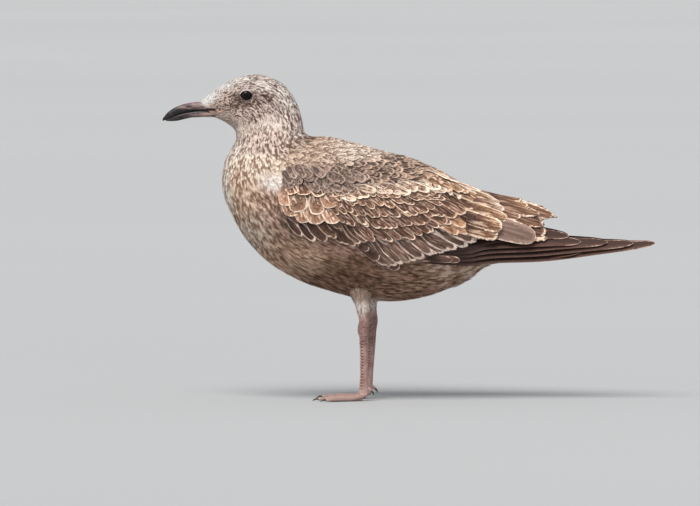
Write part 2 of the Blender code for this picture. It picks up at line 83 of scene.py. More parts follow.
def place_camera():
    lens = bpy.data.cameras.new("camera")
    lens.lens, lens.sensor_width = LENS, SENSOR
    lens.clip_end = 500.0
    camera = bpy.data.objects.new("camera", lens)
    rise = math.radians(CAMERA_RISE)
    camera.location = VIEW_POINT + Vector((0, -math.cos(rise), math.sin(rise))) * DISTANCE
    camera.rotation_euler = (VIEW_POINT - camera.location).to_track_quat("-Z", "Y").to_euler()
    bpy.context.scene.collection.objects.link(camera)
    bpy.context.scene.camera = camera
    return camera


def light_stage():
    sun = bpy.data.lights.new("soft sun", "SUN")
    sun.energy, sun.angle = SUN_POWER, math.radians(SUN_WIDTH)
    sun.color = (1.0, 0.97, 0.93)
    lamp = bpy.data.objects.new("soft sun", sun)
    lamp.rotation_euler = SUN_WAY.to_track_quat("-Z", "Y").to_euler()
    bpy.context.scene.collection.objects.link(lamp)
    sky = bpy.data.worlds.new("soft sky")
    sky.use_nodes = True
    shade = sky.node_tree.nodes["Background"]
    shade.inputs["Color"].default_value = (0.96, 0.975, 1.0, 1.0)
    shade.inputs["Strength"].default_value = SKY_POWER
    bpy.context.scene.world = sky
    bpy.context.scene.view_settings.view_transform = "Standard"


light_stage()
print("camera at", tuple(round(v, 3) for v in place_camera().location))

# %% [markdown]
# Materials are made of nodes. Short helpers keep the node code readable: they add a node, do a sum on
# sockets and numbers, take a vector apart or put one together, mix two colours, and make a new
# material with its shader. Most of them find the tree from the sockets that they are given.

# %% Helpers for node trees
def add_node(tree, kind, settings=None, inputs=None):
    """A node with its settings, and its inputs given values or links."""
    made = tree.nodes.new(kind)
    for key, value in (settings or {}).items():
        setattr(made, key, value)
    for key, value in (inputs or {}).items():
        socket = made.inputs[key]
        if isinstance(value, bpy.types.NodeSocket):
            tree.links.new(value, socket)
        else:
            socket.default_value = value
    return made


def tree_of(*values):
    """The node tree of the first socket among some sockets and numbers."""
    return next(value for value in values if isinstance(value, bpy.types.NodeSocket)).id_data


def calc(operation, *values, clamp=False):
    """The result of one Math node."""
    return add_node(tree_of(*values), "ShaderNodeMath", {"operation": operation, "use_clamp": clamp},
                    dict(enumerate(values))).outputs[0]


def times(first, second, clamp=False):
    return calc("MULTIPLY", first, second, clamp=clamp)


def plus(first, second):
    return calc("ADD", first, second)


def minus(first, second):
    return calc("SUBTRACT", first, second)


def soft_step(low, high, value):
    """0 below low, 1 above high, and a smooth rise between."""
    return add_node(value.id_data, "ShaderNodeMapRange", {"interpolation_type": "SMOOTHSTEP"},
                    {"Value": value, "From Min": low, "From Max": high}).outputs["Result"]


def parts(vector):
    """The three numbers of a vector."""
    return add_node(vector.id_data, "ShaderNodeSeparateXYZ", None, {0: vector}).outputs


def vector_of(*numbers):
    return add_node(tree_of(*numbers), "ShaderNodeCombineXYZ", None, dict(enumerate(numbers))).outputs[0]


def oval(x, z, middle, reach):
    """1 on the rim of an oval in the side view, less inside it and more outside."""
    squares = [calc("POWER", calc("DIVIDE", minus(value, centre), half), 2.0)
               for value, centre, half in zip((x, z), middle, reach)]
    return calc("SQRT", plus(*squares))


def mix_colour(share, low, high, blend="MIX"):
    """Two colours, as sockets or as four numbers, mixed by a share or multiplied."""
    return add_node(tree_of(share, low, high), "ShaderNodeMix", {"data_type": "RGBA", "blend_type": blend},
                    {0: share, 6: low, 7: high}).outputs[2]


def object_place(tree):
    return add_node(tree, "ShaderNodeTexCoord").outputs["Object"]


def grain(tree, scale, detail, stretch=(1, 1, 1), roughness=0.5):
    """A noise on object coordinates, scale in features per metre."""
    mapping = add_node(tree, "ShaderNodeMapping", None, {"Vector": object_place(tree), "Scale": stretch})
    return add_node(tree, "ShaderNodeTexNoise", None,
                    {"Vector": mapping.outputs[0], "Scale": scale, "Detail": detail,
                     "Roughness": roughness}).outputs["Fac"]


def named_value(tree, name, output="Color"):
    return add_node(tree, "ShaderNodeAttribute", {"attribute_name": name}).outputs[output]


def new_material(name, roughness, specular):
    made = bpy.data.materials.new(name)
    made.use_nodes = True
    shader = made.node_tree.nodes["Principled BSDF"]
    shader.inputs["Roughness"].default_value = roughness
    shader.inputs["Specular IOR Level"].default_value = specular
    return made, made.node_tree, shader


def paint(shader, colour):
    shader.id_data.links.new(colour, shader.inputs["Base Color"])


def bump(shader, height, strength, distance):
    made = add_node(shader.id_data, "ShaderNodeBump", None,
                    {"Height": height, "Strength": strength, "Distance": distance})
    shader.id_data.links.new(made.outputs[0], shader.inputs["Normal"])


# %% [markdown]
# The floor is one wide plain sheet, far larger than the view, so no edge of it shows. It is part
# of the stage and not of the bird.

# %% The floor
FLOOR_REACH = 90.0  # metres from the middle to each edge
FLOOR_CORNERS = ((-1, -1), (1, -1), (1, 1), (-1, 1))


def make_floor():
    finish, tree, shader = new_material("pale floor", 0.9, 0.2)
    paint(shader, mix_colour(grain(tree, 0.4, 2.0), (0.37, 0.38, 0.39, 1), (0.40, 0.41, 0.42, 1)))
    data = bpy.data.meshes.new("floor")
    data.from_pydata([(x * FLOOR_REACH, y * FLOOR_REACH, 0) for x, y in FLOOR_CORNERS], [], [(0, 1, 2, 3)])
    data.materials.append(finish)
    floor = bpy.data.objects.new("floor", data)
    bpy.context.scene.collection.objects.link(floor)


make_floor()
print("floor reaches", FLOOR_REACH, "m each way")

# %% [markdown]
# A bird's flesh and small feathers make one smooth form from the bill to the tail. That form is
# given here as a few slanting sections, each with its top and bottom point in the side view, its
# half width, and how much fuller it is below its middle. A Catmull-Rom curve through them gives
# any section between. The CAD solids have the same sections, apart from a slightly fuller face,
# so the skin can lie just inside them.

# %% The body's sections, in millimetres
BODY = {
    "bill base": ((-239.5, 343.4), (-223.5, 325.2), 8.6, 0.0),
    "forehead": ((-226.5, 353.4), (-215.0, 321.5), 12.2, 0.06),
    "lore": ((-210.5, 364.8), (-206.0, 316.0), 18.0, 0.10),
    "eye": ((-194.0, 372.0), (-200.5, 310.5), 21.5, 0.12),
    "crown": ((-175.5, 374.5), (-198.5, 305.5), 24.5, 0.14),
    "ear": ((-157.0, 371.0), (-198.5, 300.5), 27.5, 0.12),
    "back of head": ((-140.0, 360.0), (-201.0, 295.5), 29.5, 0.08),
    "nape": ((-128.5, 343.0), (-205.0, 288.5), 31.5, 0.04),
    "mid neck": ((-122.5, 325.0), (-209.5, 280.5), 35.0, 0.0),
    "neck root": ((-119.0, 309.0), (-213.0, 270.0), 40.5, 0.0),
    "shoulder": ((-113.0, 304.5), (-215.5, 253.0), 47.0, 0.0),
    "upper breast": ((-106.5, 304.0), (-213.0, 235.0), 52.5, 0.0),
    "mid breast": ((-98.5, 304.0), (-204.0, 213.0), 57.0, 0.0),
    "lower breast": ((-88.0, 303.0), (-187.0, 184.0), 60.0, 0.0),
    "fore trunk": ((-76.0, 300.5), (-160.0, 156.5), 61.5, 0.02),
    "keel": ((-59.0, 296.0), (-125.0, 136.0), 62.0, 0.04),
    "mid trunk": ((-38.0, 290.0), (-88.0, 123.5), 61.5, 0.05),
    "belly": ((-12.0, 283.0), (-52.0, 114.5), 60.0, 0.05),
    "loin": ((15.0, 274.0), (-16.0, 112.5), 57.0, 0.04),
    "hind belly": ((42.0, 261.0), (18.0, 117.5), 51.5, 0.02),
    "hip": ((66.0, 245.5), (47.0, 127.5), 43.5, 0.0),
    "rump": ((88.0, 230.0), (70.0, 139.5), 34.5, 0.0),
    "vent": ((108.0, 213.0), (88.0, 153.5), 26.0, 0.0),
    "tail coverts": ((127.0, 196.5), (107.0, 159.5), 17.5, 0.0),
    "end of coverts": ((143.0, 184.5), (127.0, 163.5), 9.0, 0.0),
}
STATIONS = list(BODY)


def smooth_through(points, t):
    """A Catmull-Rom curve through rows of numbers, read at t from 0 to 1."""
    rows = np.asarray(points, float)
    last = len(rows) - 1
    place = np.clip(np.asarray(t, float), 0, 1) * last
    i = np.minimum(place.astype(int), last - 1)
    f = (place - i)[..., None]
    a, b, c, d = (rows[np.clip(i + k, 0, last)] for k in (-1, 0, 1, 2))
    return 0.5 * (2 * b + (c - a) * f + (2 * a - 5 * b + 4 * c - d) * f ** 2
                  + (3 * b - a - 3 * c + d) * f ** 3)


def station(name):
    return float(STATIONS.index(name))


def step_up(low, high, value):
    """0 below low, 1 above high, and a smooth rise between, for numbers in arrays."""
    t = np.clip((np.asarray(value, float) - low) / (high - low), 0, 1)
    return t * t * (3 - 2 * t)


def unit(vectors):
    return vectors / np.maximum(np.linalg.norm(vectors, axis=-1, keepdims=True), 1e-12)


print("sections", len(BODY))

# %% [markdown]
# Every point of the skin has two numbers of its own: the station, which runs from the bill to the
# tail, and the turn, which runs round the body from the keel. They serve three times. The change
# of place with the station is the way the feathers lie. The pair is the skin's own unwrap, on
# which each feather gets its patch. And marks that follow the lie are drawn along them.

# %% A grid over the body
STEPS_PER_STATION, TURNS = 12, 144


def body_grid():
    """Points of the body's form, with the station and the turn of each row and column."""
    count = (len(BODY) - 1) * STEPS_PER_STATION + 1
    stations = np.linspace(0, len(BODY) - 1, count)
    table = [[*top, *bottom, half, full] for top, bottom, half, full in BODY.values()]
    x0, z0, x1, z1, half, full = smooth_through(table, stations / (len(BODY) - 1)).T[..., None]
    turns = np.arange(TURNS) / TURNS
    angle = 2 * math.pi * turns - math.pi / 2
    rise = np.sin(angle)
    x = (x0 + x1) / 2 + (x0 - x1) / 2 * rise
    z = (z0 + z1) / 2 + (z0 - z1) / 2 * rise
    y = half * np.cos(angle) * (1 - full * rise) + 0 * x
    return np.stack([x, y, z], axis=-1) * MM, stations, turns


def grid_frame(grid):
    """The way to the rear along the surface, and the outward normal, at each point of a grid."""
    along = np.gradient(grid, axis=0)
    across = np.roll(grid, -1, axis=1) - np.roll(grid, 1, axis=1)
    return unit(along), unit(np.cross(across, along))


def blur(field, rounds):
    """A field on the grid, smoothed; the columns close round the body."""
    for _ in range(rounds):
        before, after = np.concatenate([field[:1], field[:-1]]), np.concatenate([field[1:], field[-1:]])
        field = 0.5 * field + 0.25 * (before + after)
        field = 0.5 * field + 0.25 * (np.roll(field, 1, axis=1) + np.roll(field, -1, axis=1))
    return field


grid, ring_station, column_turn = body_grid()
print("grid", grid.shape)

# %% [markdown]
# The folded wings stand out from that form. Their bulge is read from the frame itself: a ray from
# outside finds how far the flesh solids reach beyond the form at each point. The skin then sinks
# below them by the depth of the coat that will lie on it, thin on the face and thick on the trunk.

# %% How far the wings stand out, and how deep the coat is
FLESH = ["head", "neck", "trunk", "rump", "wing_left_coverts", "wing_left_scapulars",
         "wing_right_coverts", "wing_right_scapulars"]
RAY_REACH = 20 * MM
COAT_DEPTH = {"bill base": 0.5, "lore": 0.9, "crown": 1.3, "nape": 1.8, "shoulder": 2.3, "keel": 2.6,
              "rump": 2.2}  # millimetres at some stations


def flesh_tree():
    points, faces = [], []
    for name in FLESH:
        data = frame["nodes"][name].data
        start = len(points)
        points += [v.co.copy() for v in data.vertices]
        faces += [[start + i for i in face.vertices] for face in data.polygons]
    return BVHTree.FromPolygons(points, faces)


def bulge(grid, normals):
    tree = flesh_tree()
    out = np.zeros(grid.shape[:2])
    for i in range(int(station("neck root")) * STEPS_PER_STATION, len(grid)):
        for k in range(TURNS):
            way = Vector(normals[i, k])
            hit = tree.ray_cast(Vector(grid[i, k]) + way * RAY_REACH, -way, 2 * RAY_REACH)
            if hit[0] is not None:
                out[i, k] = max(0.0, RAY_REACH - hit[3])
    return blur(out, 3)


def coat_depth(place):
    """The coat's depth in metres at a station."""
    return np.interp(place, [station(name) for name in COAT_DEPTH], list(COAT_DEPTH.values())) * MM


along, normal = grid_frame(grid)
stand_out = bulge(grid, normal)
skin_grid = grid + normal * (stand_out - coat_depth(ring_station)[:, None])[..., None]
print("wings stand out by", round(stand_out.max() * 1000, 1), "mm")

# %% [markdown]
# The eye of a gull is a ball that fills most of its socket, and only a small round-cornered
# window of it shows between the lids. The skin is pressed in behind that window, and raised into
# a low ring round it. The lids themselves are a piece of their own, made later.

# %% Sockets for the eyes
EYE = np.array([-186.3, 14.1, 350.9]) * MM
EYE_RADIUS = 8.4 * MM
EYE_OPENING = np.array([6.6, 5.5]) * MM  # half length and half height between the lids
HEAD_SIDE, CHIN = 8 * MM, 330 * MM  # out from the middle plane, and height
SOCKET_DEPTH, SOCKET_RIM = 2.5 * MM, 0.5 * MM  # under the eyeball's surface, and over the skin round it


def eye_distance(x, z):
    """1 on the lids' edge as seen from the side, less inside and more outside."""
    return np.hypot((x - EYE[0]) / EYE_OPENING[0], (z - EYE[2]) / EYE_OPENING[1])


def ball_surface(x, z):
    """How far out from the middle plane the eyeball reaches at a place in the side view."""
    inside = EYE_RADIUS ** 2 - (x - EYE[0]) ** 2 - (z - EYE[2]) ** 2
    return EYE[1] + np.sqrt(np.maximum(inside, 0))


def beside_eye(points):
    """Whether points are on a side of the head and not on its ridge or below it."""
    return (np.abs(points[..., 1]) > HEAD_SIDE) & (points[..., 2] > CHIN)


def press_sockets(points):
    x, y, z = points[..., 0], points[..., 1], points[..., 2]
    away, near = eye_distance(x, z), beside_eye(points)
    sink = step_up(1.35, 1.0, away) * near
    raised = SOCKET_RIM * np.exp(-((away - 1.6) / 0.3) ** 2) * near
    inner = ball_surface(x, z) - SOCKET_DEPTH
    depth = np.abs(y) + raised
    points[..., 1] = np.sign(y) * (depth * (1 - sink) + np.minimum(depth, inner) * sink)
    return points


skin_grid = press_sockets(skin_grid)
skin_along, skin_normal = grid_frame(skin_grid)
print("eyes", round(EYE[1] * 2000, 1), "mm apart at their centres")

# %% [markdown]
# The plumage has its colours by place. Each entry below is a named area of the bird in the side
# view: its middle and reach in millimetres, the colour of its pale feathers, the colour of its
# dark marks, and the share of the feathers that are marked. The areas are soft and melt into each
# other. A few of them hold painted light: painted shade in the creases by the mouth and under the
# eye and under the belly, and a painted highlight on the forehead's ridge. Skin and feathers both
# read them, so where a gap opens the colour beneath is the same, only darkened by painted shade.

# %% The plumage's colours by area
PLUMAGE = {
    # painted highlight: the forehead ridge has pale feathers made paler still, with light marks, for the
    # highlight on the forehead
    "forehead ridge": (-233, 350, 6, 5, (0.99, 0.97, 0.95), (0.60, 0.52, 0.48), 0.06),
    "forehead slope": (-217, 361, 8, 3.5, (0.99, 0.97, 0.95), (0.50, 0.43, 0.39), 0.08),
    "forehead rim": (-224, 350, 9, 5, (0.99, 0.97, 0.95), (0.288, 0.240, 0.216), 0.14),
    "fore crown": (-200, 369, 14, 6, (0.990, 0.951, 0.883), (0.187, 0.137, 0.116), 0.32),
    "crown": (-168, 368, 18, 8, (0.980, 0.865, 0.800), (0.193, 0.130, 0.110), 0.44),
    "above the eye": (-190, 361, 12, 5, (0.891, 0.725, 0.660), (0.163, 0.106, 0.086), 0.46),
    "lores": (-213, 345, 9, 8, (0.812, 0.623, 0.539), (0.116, 0.071, 0.053), 0.42),
    "before the eye": (-198, 347, 4, 4, (0.376, 0.270, 0.223), (0.085, 0.054, 0.041), 0.70),
    "behind the eye": (-168, 349, 13, 4, (0.634, 0.484, 0.419), (0.058, 0.034, 0.025), 0.64),
    "ear": (-160, 340, 14, 8, (0.812, 0.642, 0.577), (0.148, 0.095, 0.077), 0.50),
    # painted shade: the mouth crease and the under-eye crease are narrow dark bands for the shade in the
    # creases above the mouth's corner and under the eye
    "shade in the mouth crease": (-200, 338.6, 11, 1.3, (0.455, 0.316, 0.260), (0.114, 0.072, 0.054), 0.75),
    "shade under the eye": (-186, 341.6, 6, 1.2, (0.416, 0.298, 0.251), (0.095, 0.063, 0.050), 0.75),
    "cheek": (-188, 330, 13, 6, (0.921, 0.735, 0.651), (0.129, 0.077, 0.059), 0.45),
    "pale cheek": (-160, 323, 9, 7, (0.959, 0.844, 0.768), (0.420, 0.294, 0.242), 0.22),
    "mouth corner": (-222, 330.6, 5.5, 1.7, (0.80, 0.56, 0.46), (0.56, 0.36, 0.29), 0.30),
    "end of the mouth": (-224, 333.9, 6.0, 0.8, (0.16, 0.105, 0.085), (0.050, 0.034, 0.028), 0.80),
    "chin": (-211, 325, 8, 5, (0.969, 0.786, 0.682), (0.380, 0.257, 0.195), 0.30),
    "throat": (-197, 312, 11, 7, (0.969, 0.844, 0.758), (0.400, 0.285, 0.223), 0.35),
    "back of head": (-143, 350, 10, 12, (0.990, 0.921, 0.845), (0.203, 0.130, 0.099), 0.45),
    "hind neck": (-132, 322, 9, 14, (0.989, 0.854, 0.778), (0.210, 0.128, 0.098), 0.48),
    "neck side": (-162, 303, 17, 10, (0.877, 0.708, 0.624), (0.210, 0.133, 0.102), 0.48),
    "fore neck": (-205, 290, 12, 9, (0.989, 0.892, 0.826), (0.380, 0.275, 0.223), 0.36),
    "upper breast": (-192, 272, 22, 12, (0.990, 0.865, 0.727), (0.349, 0.211, 0.146), 0.46),
    "breast rim": (-213, 250, 7, 26, (0.990, 0.968, 0.899), (0.551, 0.398, 0.320), 0.33),
    "breast": (-194, 243, 14, 22, (0.990, 0.783, 0.606), (0.382, 0.216, 0.140), 0.50),
    "breast side": (-165, 232, 14, 18, (0.901, 0.628, 0.485), (0.236, 0.136, 0.092), 0.52),
    "shoulder tuft": (-160, 254.5, 11, 6.5, (0.99, 0.95, 0.91), (0.68, 0.52, 0.43), 0.10),
    "lower breast": (-182, 203, 16, 17, (0.975, 0.814, 0.677), (0.318, 0.189, 0.130), 0.48),
    "before the wing": (-152, 210, 9, 16, (0.612, 0.421, 0.329), (0.204, 0.118, 0.080), 0.55),
    "fore belly": (-140, 168, 26, 16, (0.90, 0.63, 0.45), (0.30, 0.17, 0.11), 0.50),
    # painted shade: the belly's colours are its brown feathers darkened further, for the shade under the
    # body
    "belly": (-80, 140, 34, 16, (0.391, 0.235, 0.160), (0.123, 0.061, 0.038), 0.50),
    "flank": (-92, 179, 26, 5, (0.681, 0.425, 0.328), (0.225, 0.116, 0.080), 0.40),
    "thigh": (-53, 108, 13, 7, (0.93, 0.83, 0.77), (0.75, 0.63, 0.56), 0.12),
    "hind belly": (0, 136, 26, 16, (0.64, 0.40, 0.29), (0.145, 0.070, 0.044), 0.54),
    "under tail": (50, 146, 24, 14, (0.97, 0.77, 0.61), (0.29, 0.145, 0.085), 0.52),
    "under tail tip": (95, 160, 18, 12, (0.70, 0.53, 0.46), (0.15, 0.074, 0.045), 0.50),
    "fore mantle": (-112, 290, 20, 12, (0.688, 0.539, 0.437), (0.196, 0.111, 0.072), 0.52),
    "mantle": (-70, 289, 26, 8, (0.875, 0.755, 0.650), (0.202, 0.125, 0.086), 0.45),
    "fore shoulder": (-105, 258, 20, 11, (0.39, 0.25, 0.19), (0.056, 0.033, 0.026), 0.66),
    "shoulder": (-55, 260, 22, 12, (0.39, 0.245, 0.18), (0.040, 0.024, 0.019), 0.67),
    "mid shoulder": (-22, 262, 26, 13, (0.46, 0.30, 0.22), (0.044, 0.025, 0.019), 0.66),
    "hind shoulder": (34, 258, 18, 10, (0.75, 0.48, 0.34), (0.11, 0.048, 0.026), 0.56),
    "shoulder tips": (60, 243, 18, 10, (0.99, 0.91, 0.81), (0.66, 0.40, 0.26), 0.26),
    "upper tail": (108, 205, 16, 14, (0.748, 0.574, 0.464), (0.230, 0.115, 0.068), 0.50),
    "wing": (-20, 208, 60, 18, (0.45, 0.31, 0.25), (0.18, 0.095, 0.06), 0.60),
}


def plumage_at(points):
    """Pale colour, dark colour and the share of marked feathers at each point."""
    x, z = points[:, 0] / MM, points[:, 2] / MM
    total = np.zeros(len(points))
    pale, dark = np.zeros((len(points), 3)), np.zeros((len(points), 3))
    share = np.zeros(len(points))
    for mid_x, mid_z, reach_x, reach_z, light, deep, part in PLUMAGE.values():
        far = ((x - mid_x) / reach_x) ** 2 + ((z - mid_z) / reach_z) ** 2
        weight = np.exp(-far) + 1e-3 / (1 + far) ** 2
        total += weight
        pale += weight[:, None] * np.array(light)
        dark += weight[:, None] * np.array(deep)
        share += weight * part
    return pale / total[:, None], dark / total[:, None], share / total


def cloud(points, seed):
    """A smooth noise from -1 to 1 with features of about one unit."""
    shift = Vector((seed * 7.31, seed * 3.17, seed * 5.73))
    return np.array([noise.noise(Vector(p) + shift) for p in points])


print("areas of plumage", len(PLUMAGE))

# %% [markdown]
# Feathers grow in tracts. Each tract has feathers of its own size, set at its own spacing: tiny
# on the face, longer and looser on the breast and belly, broad and firm on the back. The wing's
# own feathers stand in ordered rows and are laid later. A tract is a soft mask over the skin's
# points, from the station, the turn and the wing's outline in the side view.

# %% The tracts
WING_BOTTOM = ((-150, 224), (-147, 212), (-131, 193), (-112, 186), (-75, 183), (-51, 180),
               (-34, 166), (-18, 158), (2, 158), (20, 165), (45, 171), (72, 178), (100, 189))
WING_TOP = ((-175, 288), (-160, 270), (-146, 250), (-133, 247), (-114, 240), (-80, 238), (-30, 237.5),
            (20, 236.5), (50, 234), (72, 228), (86, 224), (110, 205), (145, 184))
WING_FRONT, WING_REAR = -146.0, 100.0
MANTLE_EDGE = ((-135, 256), (-112, 268), (-79, 278), (-40, 280), (-10, 284), (20, 285))
MANTLE_REAR, SHOULDER_REAR = -5 * MM, -62 * MM  # behind them the scapular feathers begin
FACE_EDGE = ((320, -231), (325, -230), (328, -228), (330.4, -223), (331.4, -217), (332.4, -221),
             (333.6, -229), (336.6, -236), (339.6, -240), (343, -247), (350, -250))  # heights, and x there
GAPE = ((-225, 331.4), (-220, 331.9), (-215, 332.6), (-208, 334.2), (-200, 336.4))  # the mouth's corner
GAPE_BARE = 0.8  # how far from it no feather grows
EYE_FEATHERS, LID_EDGE = 2.3, 1.15  # reach of the face's feathers round the eye, in openings; their start


def height_of(line, x):
    """The second number of a line's points, read at places between the first ones."""
    return np.interp(x, *zip(*line))


def wing_masks(x, z):
    """Above the wing's top edge, and below the wing or beside it, in the side view, in millimetres."""
    above = z > height_of(WING_TOP, x)
    inside = ~above & (z > height_of(WING_BOTTOM, x)) & (x > WING_FRONT) & (x < WING_REAR)
    return above, ~above & ~inside


def tract_masks(points, place):
    x, z = points[..., 0], points[..., 2]
    above, below = wing_masks(x / MM, z / MM)
    on_mantle = z / MM > height_of(MANTLE_EDGE, x / MM)
    on_head = place < station("nape")
    face = place < station("eye") + 0.1
    face |= (eye_distance(x, z) < EYE_FEATHERS) & (np.abs(points[..., 1]) > HEAD_SIDE)
    face &= on_head
    on_neck = (place >= station("nape")) & (place < station("shoulder") + 0.5)
    trunk = place >= station("shoulder") + 0.5
    rump = place >= station("hip") - 0.2
    clear = (eye_distance(x, z) > LID_EDGE) | ~beside_eye(points)
    # the face's feathers reach forward over the bill's ridge and leave the corner of the mouth bare
    clear &= x / MM > height_of(FACE_EDGE, z / MM)
    clear &= (np.abs(z / MM - height_of(GAPE, x / MM)) > GAPE_BARE) | (x > GAPE[-1][0] * MM)
    scapular = (~on_mantle & (x >= SHOULDER_REAR)) | (on_mantle & (x >= MANTLE_REAR))
    masks = {
        "face": face & clear,
        "head": on_head & ~face,
        "neck": on_neck,
        "mantle": trunk & above & on_mantle & (x < MANTLE_REAR),
        "shoulder": trunk & above & ~on_mantle & (x < SHOULDER_REAR),
        "scapular": trunk & above & ~rump & scapular,
        "rump": trunk & above & rump,
        "breast": trunk & below & (place < station("fore trunk")),
        "belly": trunk & below & (place >= station("fore trunk")) & (place < station("hip")),
        "vent": trunk & below & (place >= station("hip")),
    }
    return {name: mask.astype(np.float32) for name, mask in masks.items()}


TRACTS = {  # spacing, length, width and lift of the tip, in millimetres; kind of feather
    "face": (0.80, 3.2, 1.05, 0.40, "fluff"),
    "head": (0.86, 6.4, 1.5, 0.95, "streak"),
    "neck": (1.25, 8.6, 2.4, 1.2, "streak"),
    "breast": (1.6, 11.5, 3.4, 1.6, "down"),
    "belly": (1.72, 14.0, 2.8, 1.4, "down"),
    "vent": (2.1, 17.5, 5.0, 3.0, "down"),
    "mantle": (2.5, 10.5, 4.8, 1.4, "scale"),
    "shoulder": (4.4, 14.5, 8.4, 2.0, "scale"),
    "scapular": (4.9, 17.0, 9.0, 2.2, "scale"),
    "rump": (2.6, 13.0, 6.0, 1.3, "scale"),
}
place_on_grid = np.repeat(ring_station[:, None], TURNS, axis=1)
masks = tract_masks(skin_grid, place_on_grid)
print({name: int(mask.sum()) for name, mask in masks.items()})

# %% [markdown]
# The skin is one closed mesh: the grid's rows and columns as faces, and a point to close each
# end. It carries what the feathers will need: the lie, the outward way, the station and turn, and
# the tract masks. Its own colour is the plumage's colour darkened by painted shade, the shade that
# falls into the gaps between feathers, so that it never shows as a bare patch between two feathers.

# %% The skin
KIND_BY_WIDTH = {1: ("FLOAT", "value"), 3: ("FLOAT_VECTOR", "vector"), 4: ("FLOAT_COLOR", "color")}


def write_attribute(data, name, values):
    """Whole numbers, numbers, vectors or colours as an attribute on a mesh's points."""
    values = np.asarray(values)
    kind, part = KIND_BY_WIDTH[values.size // len(data.vertices)]
    if values.dtype.kind == "i":
        kind = "INT"
    number = np.int32 if kind == "INT" else np.float32
    data.attributes.new(name, kind, "POINT").data.foreach_set(part, values.astype(number).ravel())


def with_alpha(colour, alpha=1.0):
    return np.concatenate([colour, np.broadcast_to(np.asarray(alpha, float).reshape(-1, 1),
                                                   (len(colour), 1))], axis=1)


def mesh_object(name, points, faces, finish=None):
    data = bpy.data.meshes.new(name)
    data.from_pydata([tuple(p) for p in points], [], faces)
    if finish:
        data.materials.append(finish)
    data.shade_smooth()
    obj = bpy.data.objects.new(name, data)
    bpy.context.scene.collection.objects.link(obj)
    return obj


def hand_over(piece, slot, *solids):
    """A finished piece rides with the body, and stands for the solids that it covers."""
    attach(piece, "root")
    if solids:
        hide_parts(*solids)
    return piece


def loft_faces(rings, around):
    """The faces of a tube whose points come one round after another."""
    return [(i * around + k, i * around + (k + 1) % around, (i + 1) * around + (k + 1) % around,
             (i + 1) * around + k) for i in range(rings - 1) for k in range(around)]


def end_fans(rings, around):
    """Triangles that close such a tube to two more points, one for each end."""
    first, base = rings * around, (rings - 1) * around
    pairs = [(k, (k + 1) % around) for k in range(around)]
    return [face for a, b in pairs for face in ((first, b, a), (first + 1, base + a, base + b))]


def end_rings(rings, around):
    """One flat face for each end of such a tube."""
    return [tuple(range(around)), tuple(range((rings - 1) * around, rings * around))]


def outward(obj):
    """Turns every face of a closed mesh outwards."""
    mesh = bmesh.new()
    mesh.from_mesh(obj.data)
    bmesh.ops.recalc_face_normals(mesh, faces=mesh.faces)
    mesh.to_mesh(obj.data)
    mesh.free()
    return obj


def data_points(data):
    flat = np.empty(len(data.vertices) * 3, np.float32)
    data.vertices.foreach_get("co", flat)
    return flat.reshape(-1, 3).astype(float)


def make_skin():
    rings = len(skin_grid)
    ends = [skin_grid[0].mean(axis=0), skin_grid[-1].mean(axis=0)]
    skin = mesh_object("skin", np.vstack([skin_grid.reshape(-1, 3), ends]),
                       loft_faces(rings, TURNS) + end_fans(rings, TURNS))
    lengths = np.linalg.norm(np.diff(skin_grid.mean(axis=1), axis=0), axis=1)
    run = np.concatenate([[0], np.cumsum(lengths)]) / lengths.sum()
    places = (np.repeat(run, TURNS), np.tile(column_turn, rings), place_on_grid.ravel())

    def closed(values):
        return np.vstack([values, values[:1], values[-1:]])

    data = skin.data
    write_attribute(data, "lie", closed(skin_along.reshape(-1, 3)))
    write_attribute(data, "out", closed(skin_normal.reshape(-1, 3)))
    write_attribute(data, "place", closed(np.column_stack(places)))
    for name, mask in masks.items():
        write_attribute(data, f"tract_{name}", closed(mask.reshape(-1, 1)))
    pale, dark, share = plumage_at(data_points(data))
    # painted shade: the skin is darker than the feathers above it, for the shade in the gaps between them
    depth = (0.35 + 0.5 * share)[:, None]
    write_attribute(data, "ground", with_alpha((pale * (1 - depth) + dark * depth) * 0.75))
    return skin


skin = make_skin()
print("skin faces", len(skin.data.polygons))

# %% [markdown]
# The skin's finish reads the plumage colour stored on its points, already darkened by painted
# shade, and breaks it up with fine noise, so it looks like the soft down that lies beneath the
# outer feathers.

# %% The skin's finish
def make_skin_finish():
    finish, tree, shader = new_material("down in painted shade beneath the feathers", 0.9, 0.2)
    fine = grain(tree, 900.0, 3.0)
    shade = mix_colour(soft_step(0.3, 0.7, fine), (0.62, 0.62, 0.62, 1), (1.15, 1.15, 1.15, 1))
    paint(shader, mix_colour(1.0, named_value(tree, "ground"), shade, "MULTIPLY"))
    bump(shader, fine, 0.5, 0.0006)
    return finish


skin.data.materials.append(make_skin_finish())
print("skin finish", skin.data.materials[0].name)

# %% [markdown]
# One function makes the two finishes of the feathers, a soft one and a firm one. Each feather mesh
# knows, at every point, how far along its shaft it is, how far across, and how near its rim. Each
# single feather brings four facts of its own: its ground colour, the colour of its dark mark, the
# colour of its pale fringe, and a pattern that says how wide the mark is, how barred, and how broad
# the fringe. The nodes put these together. Fine barbs that slant from the shaft give a faint relief.

# %% The feathers' finish
HEART_BLUR = 0.14  # half the width over which the dark heart melts into the vane


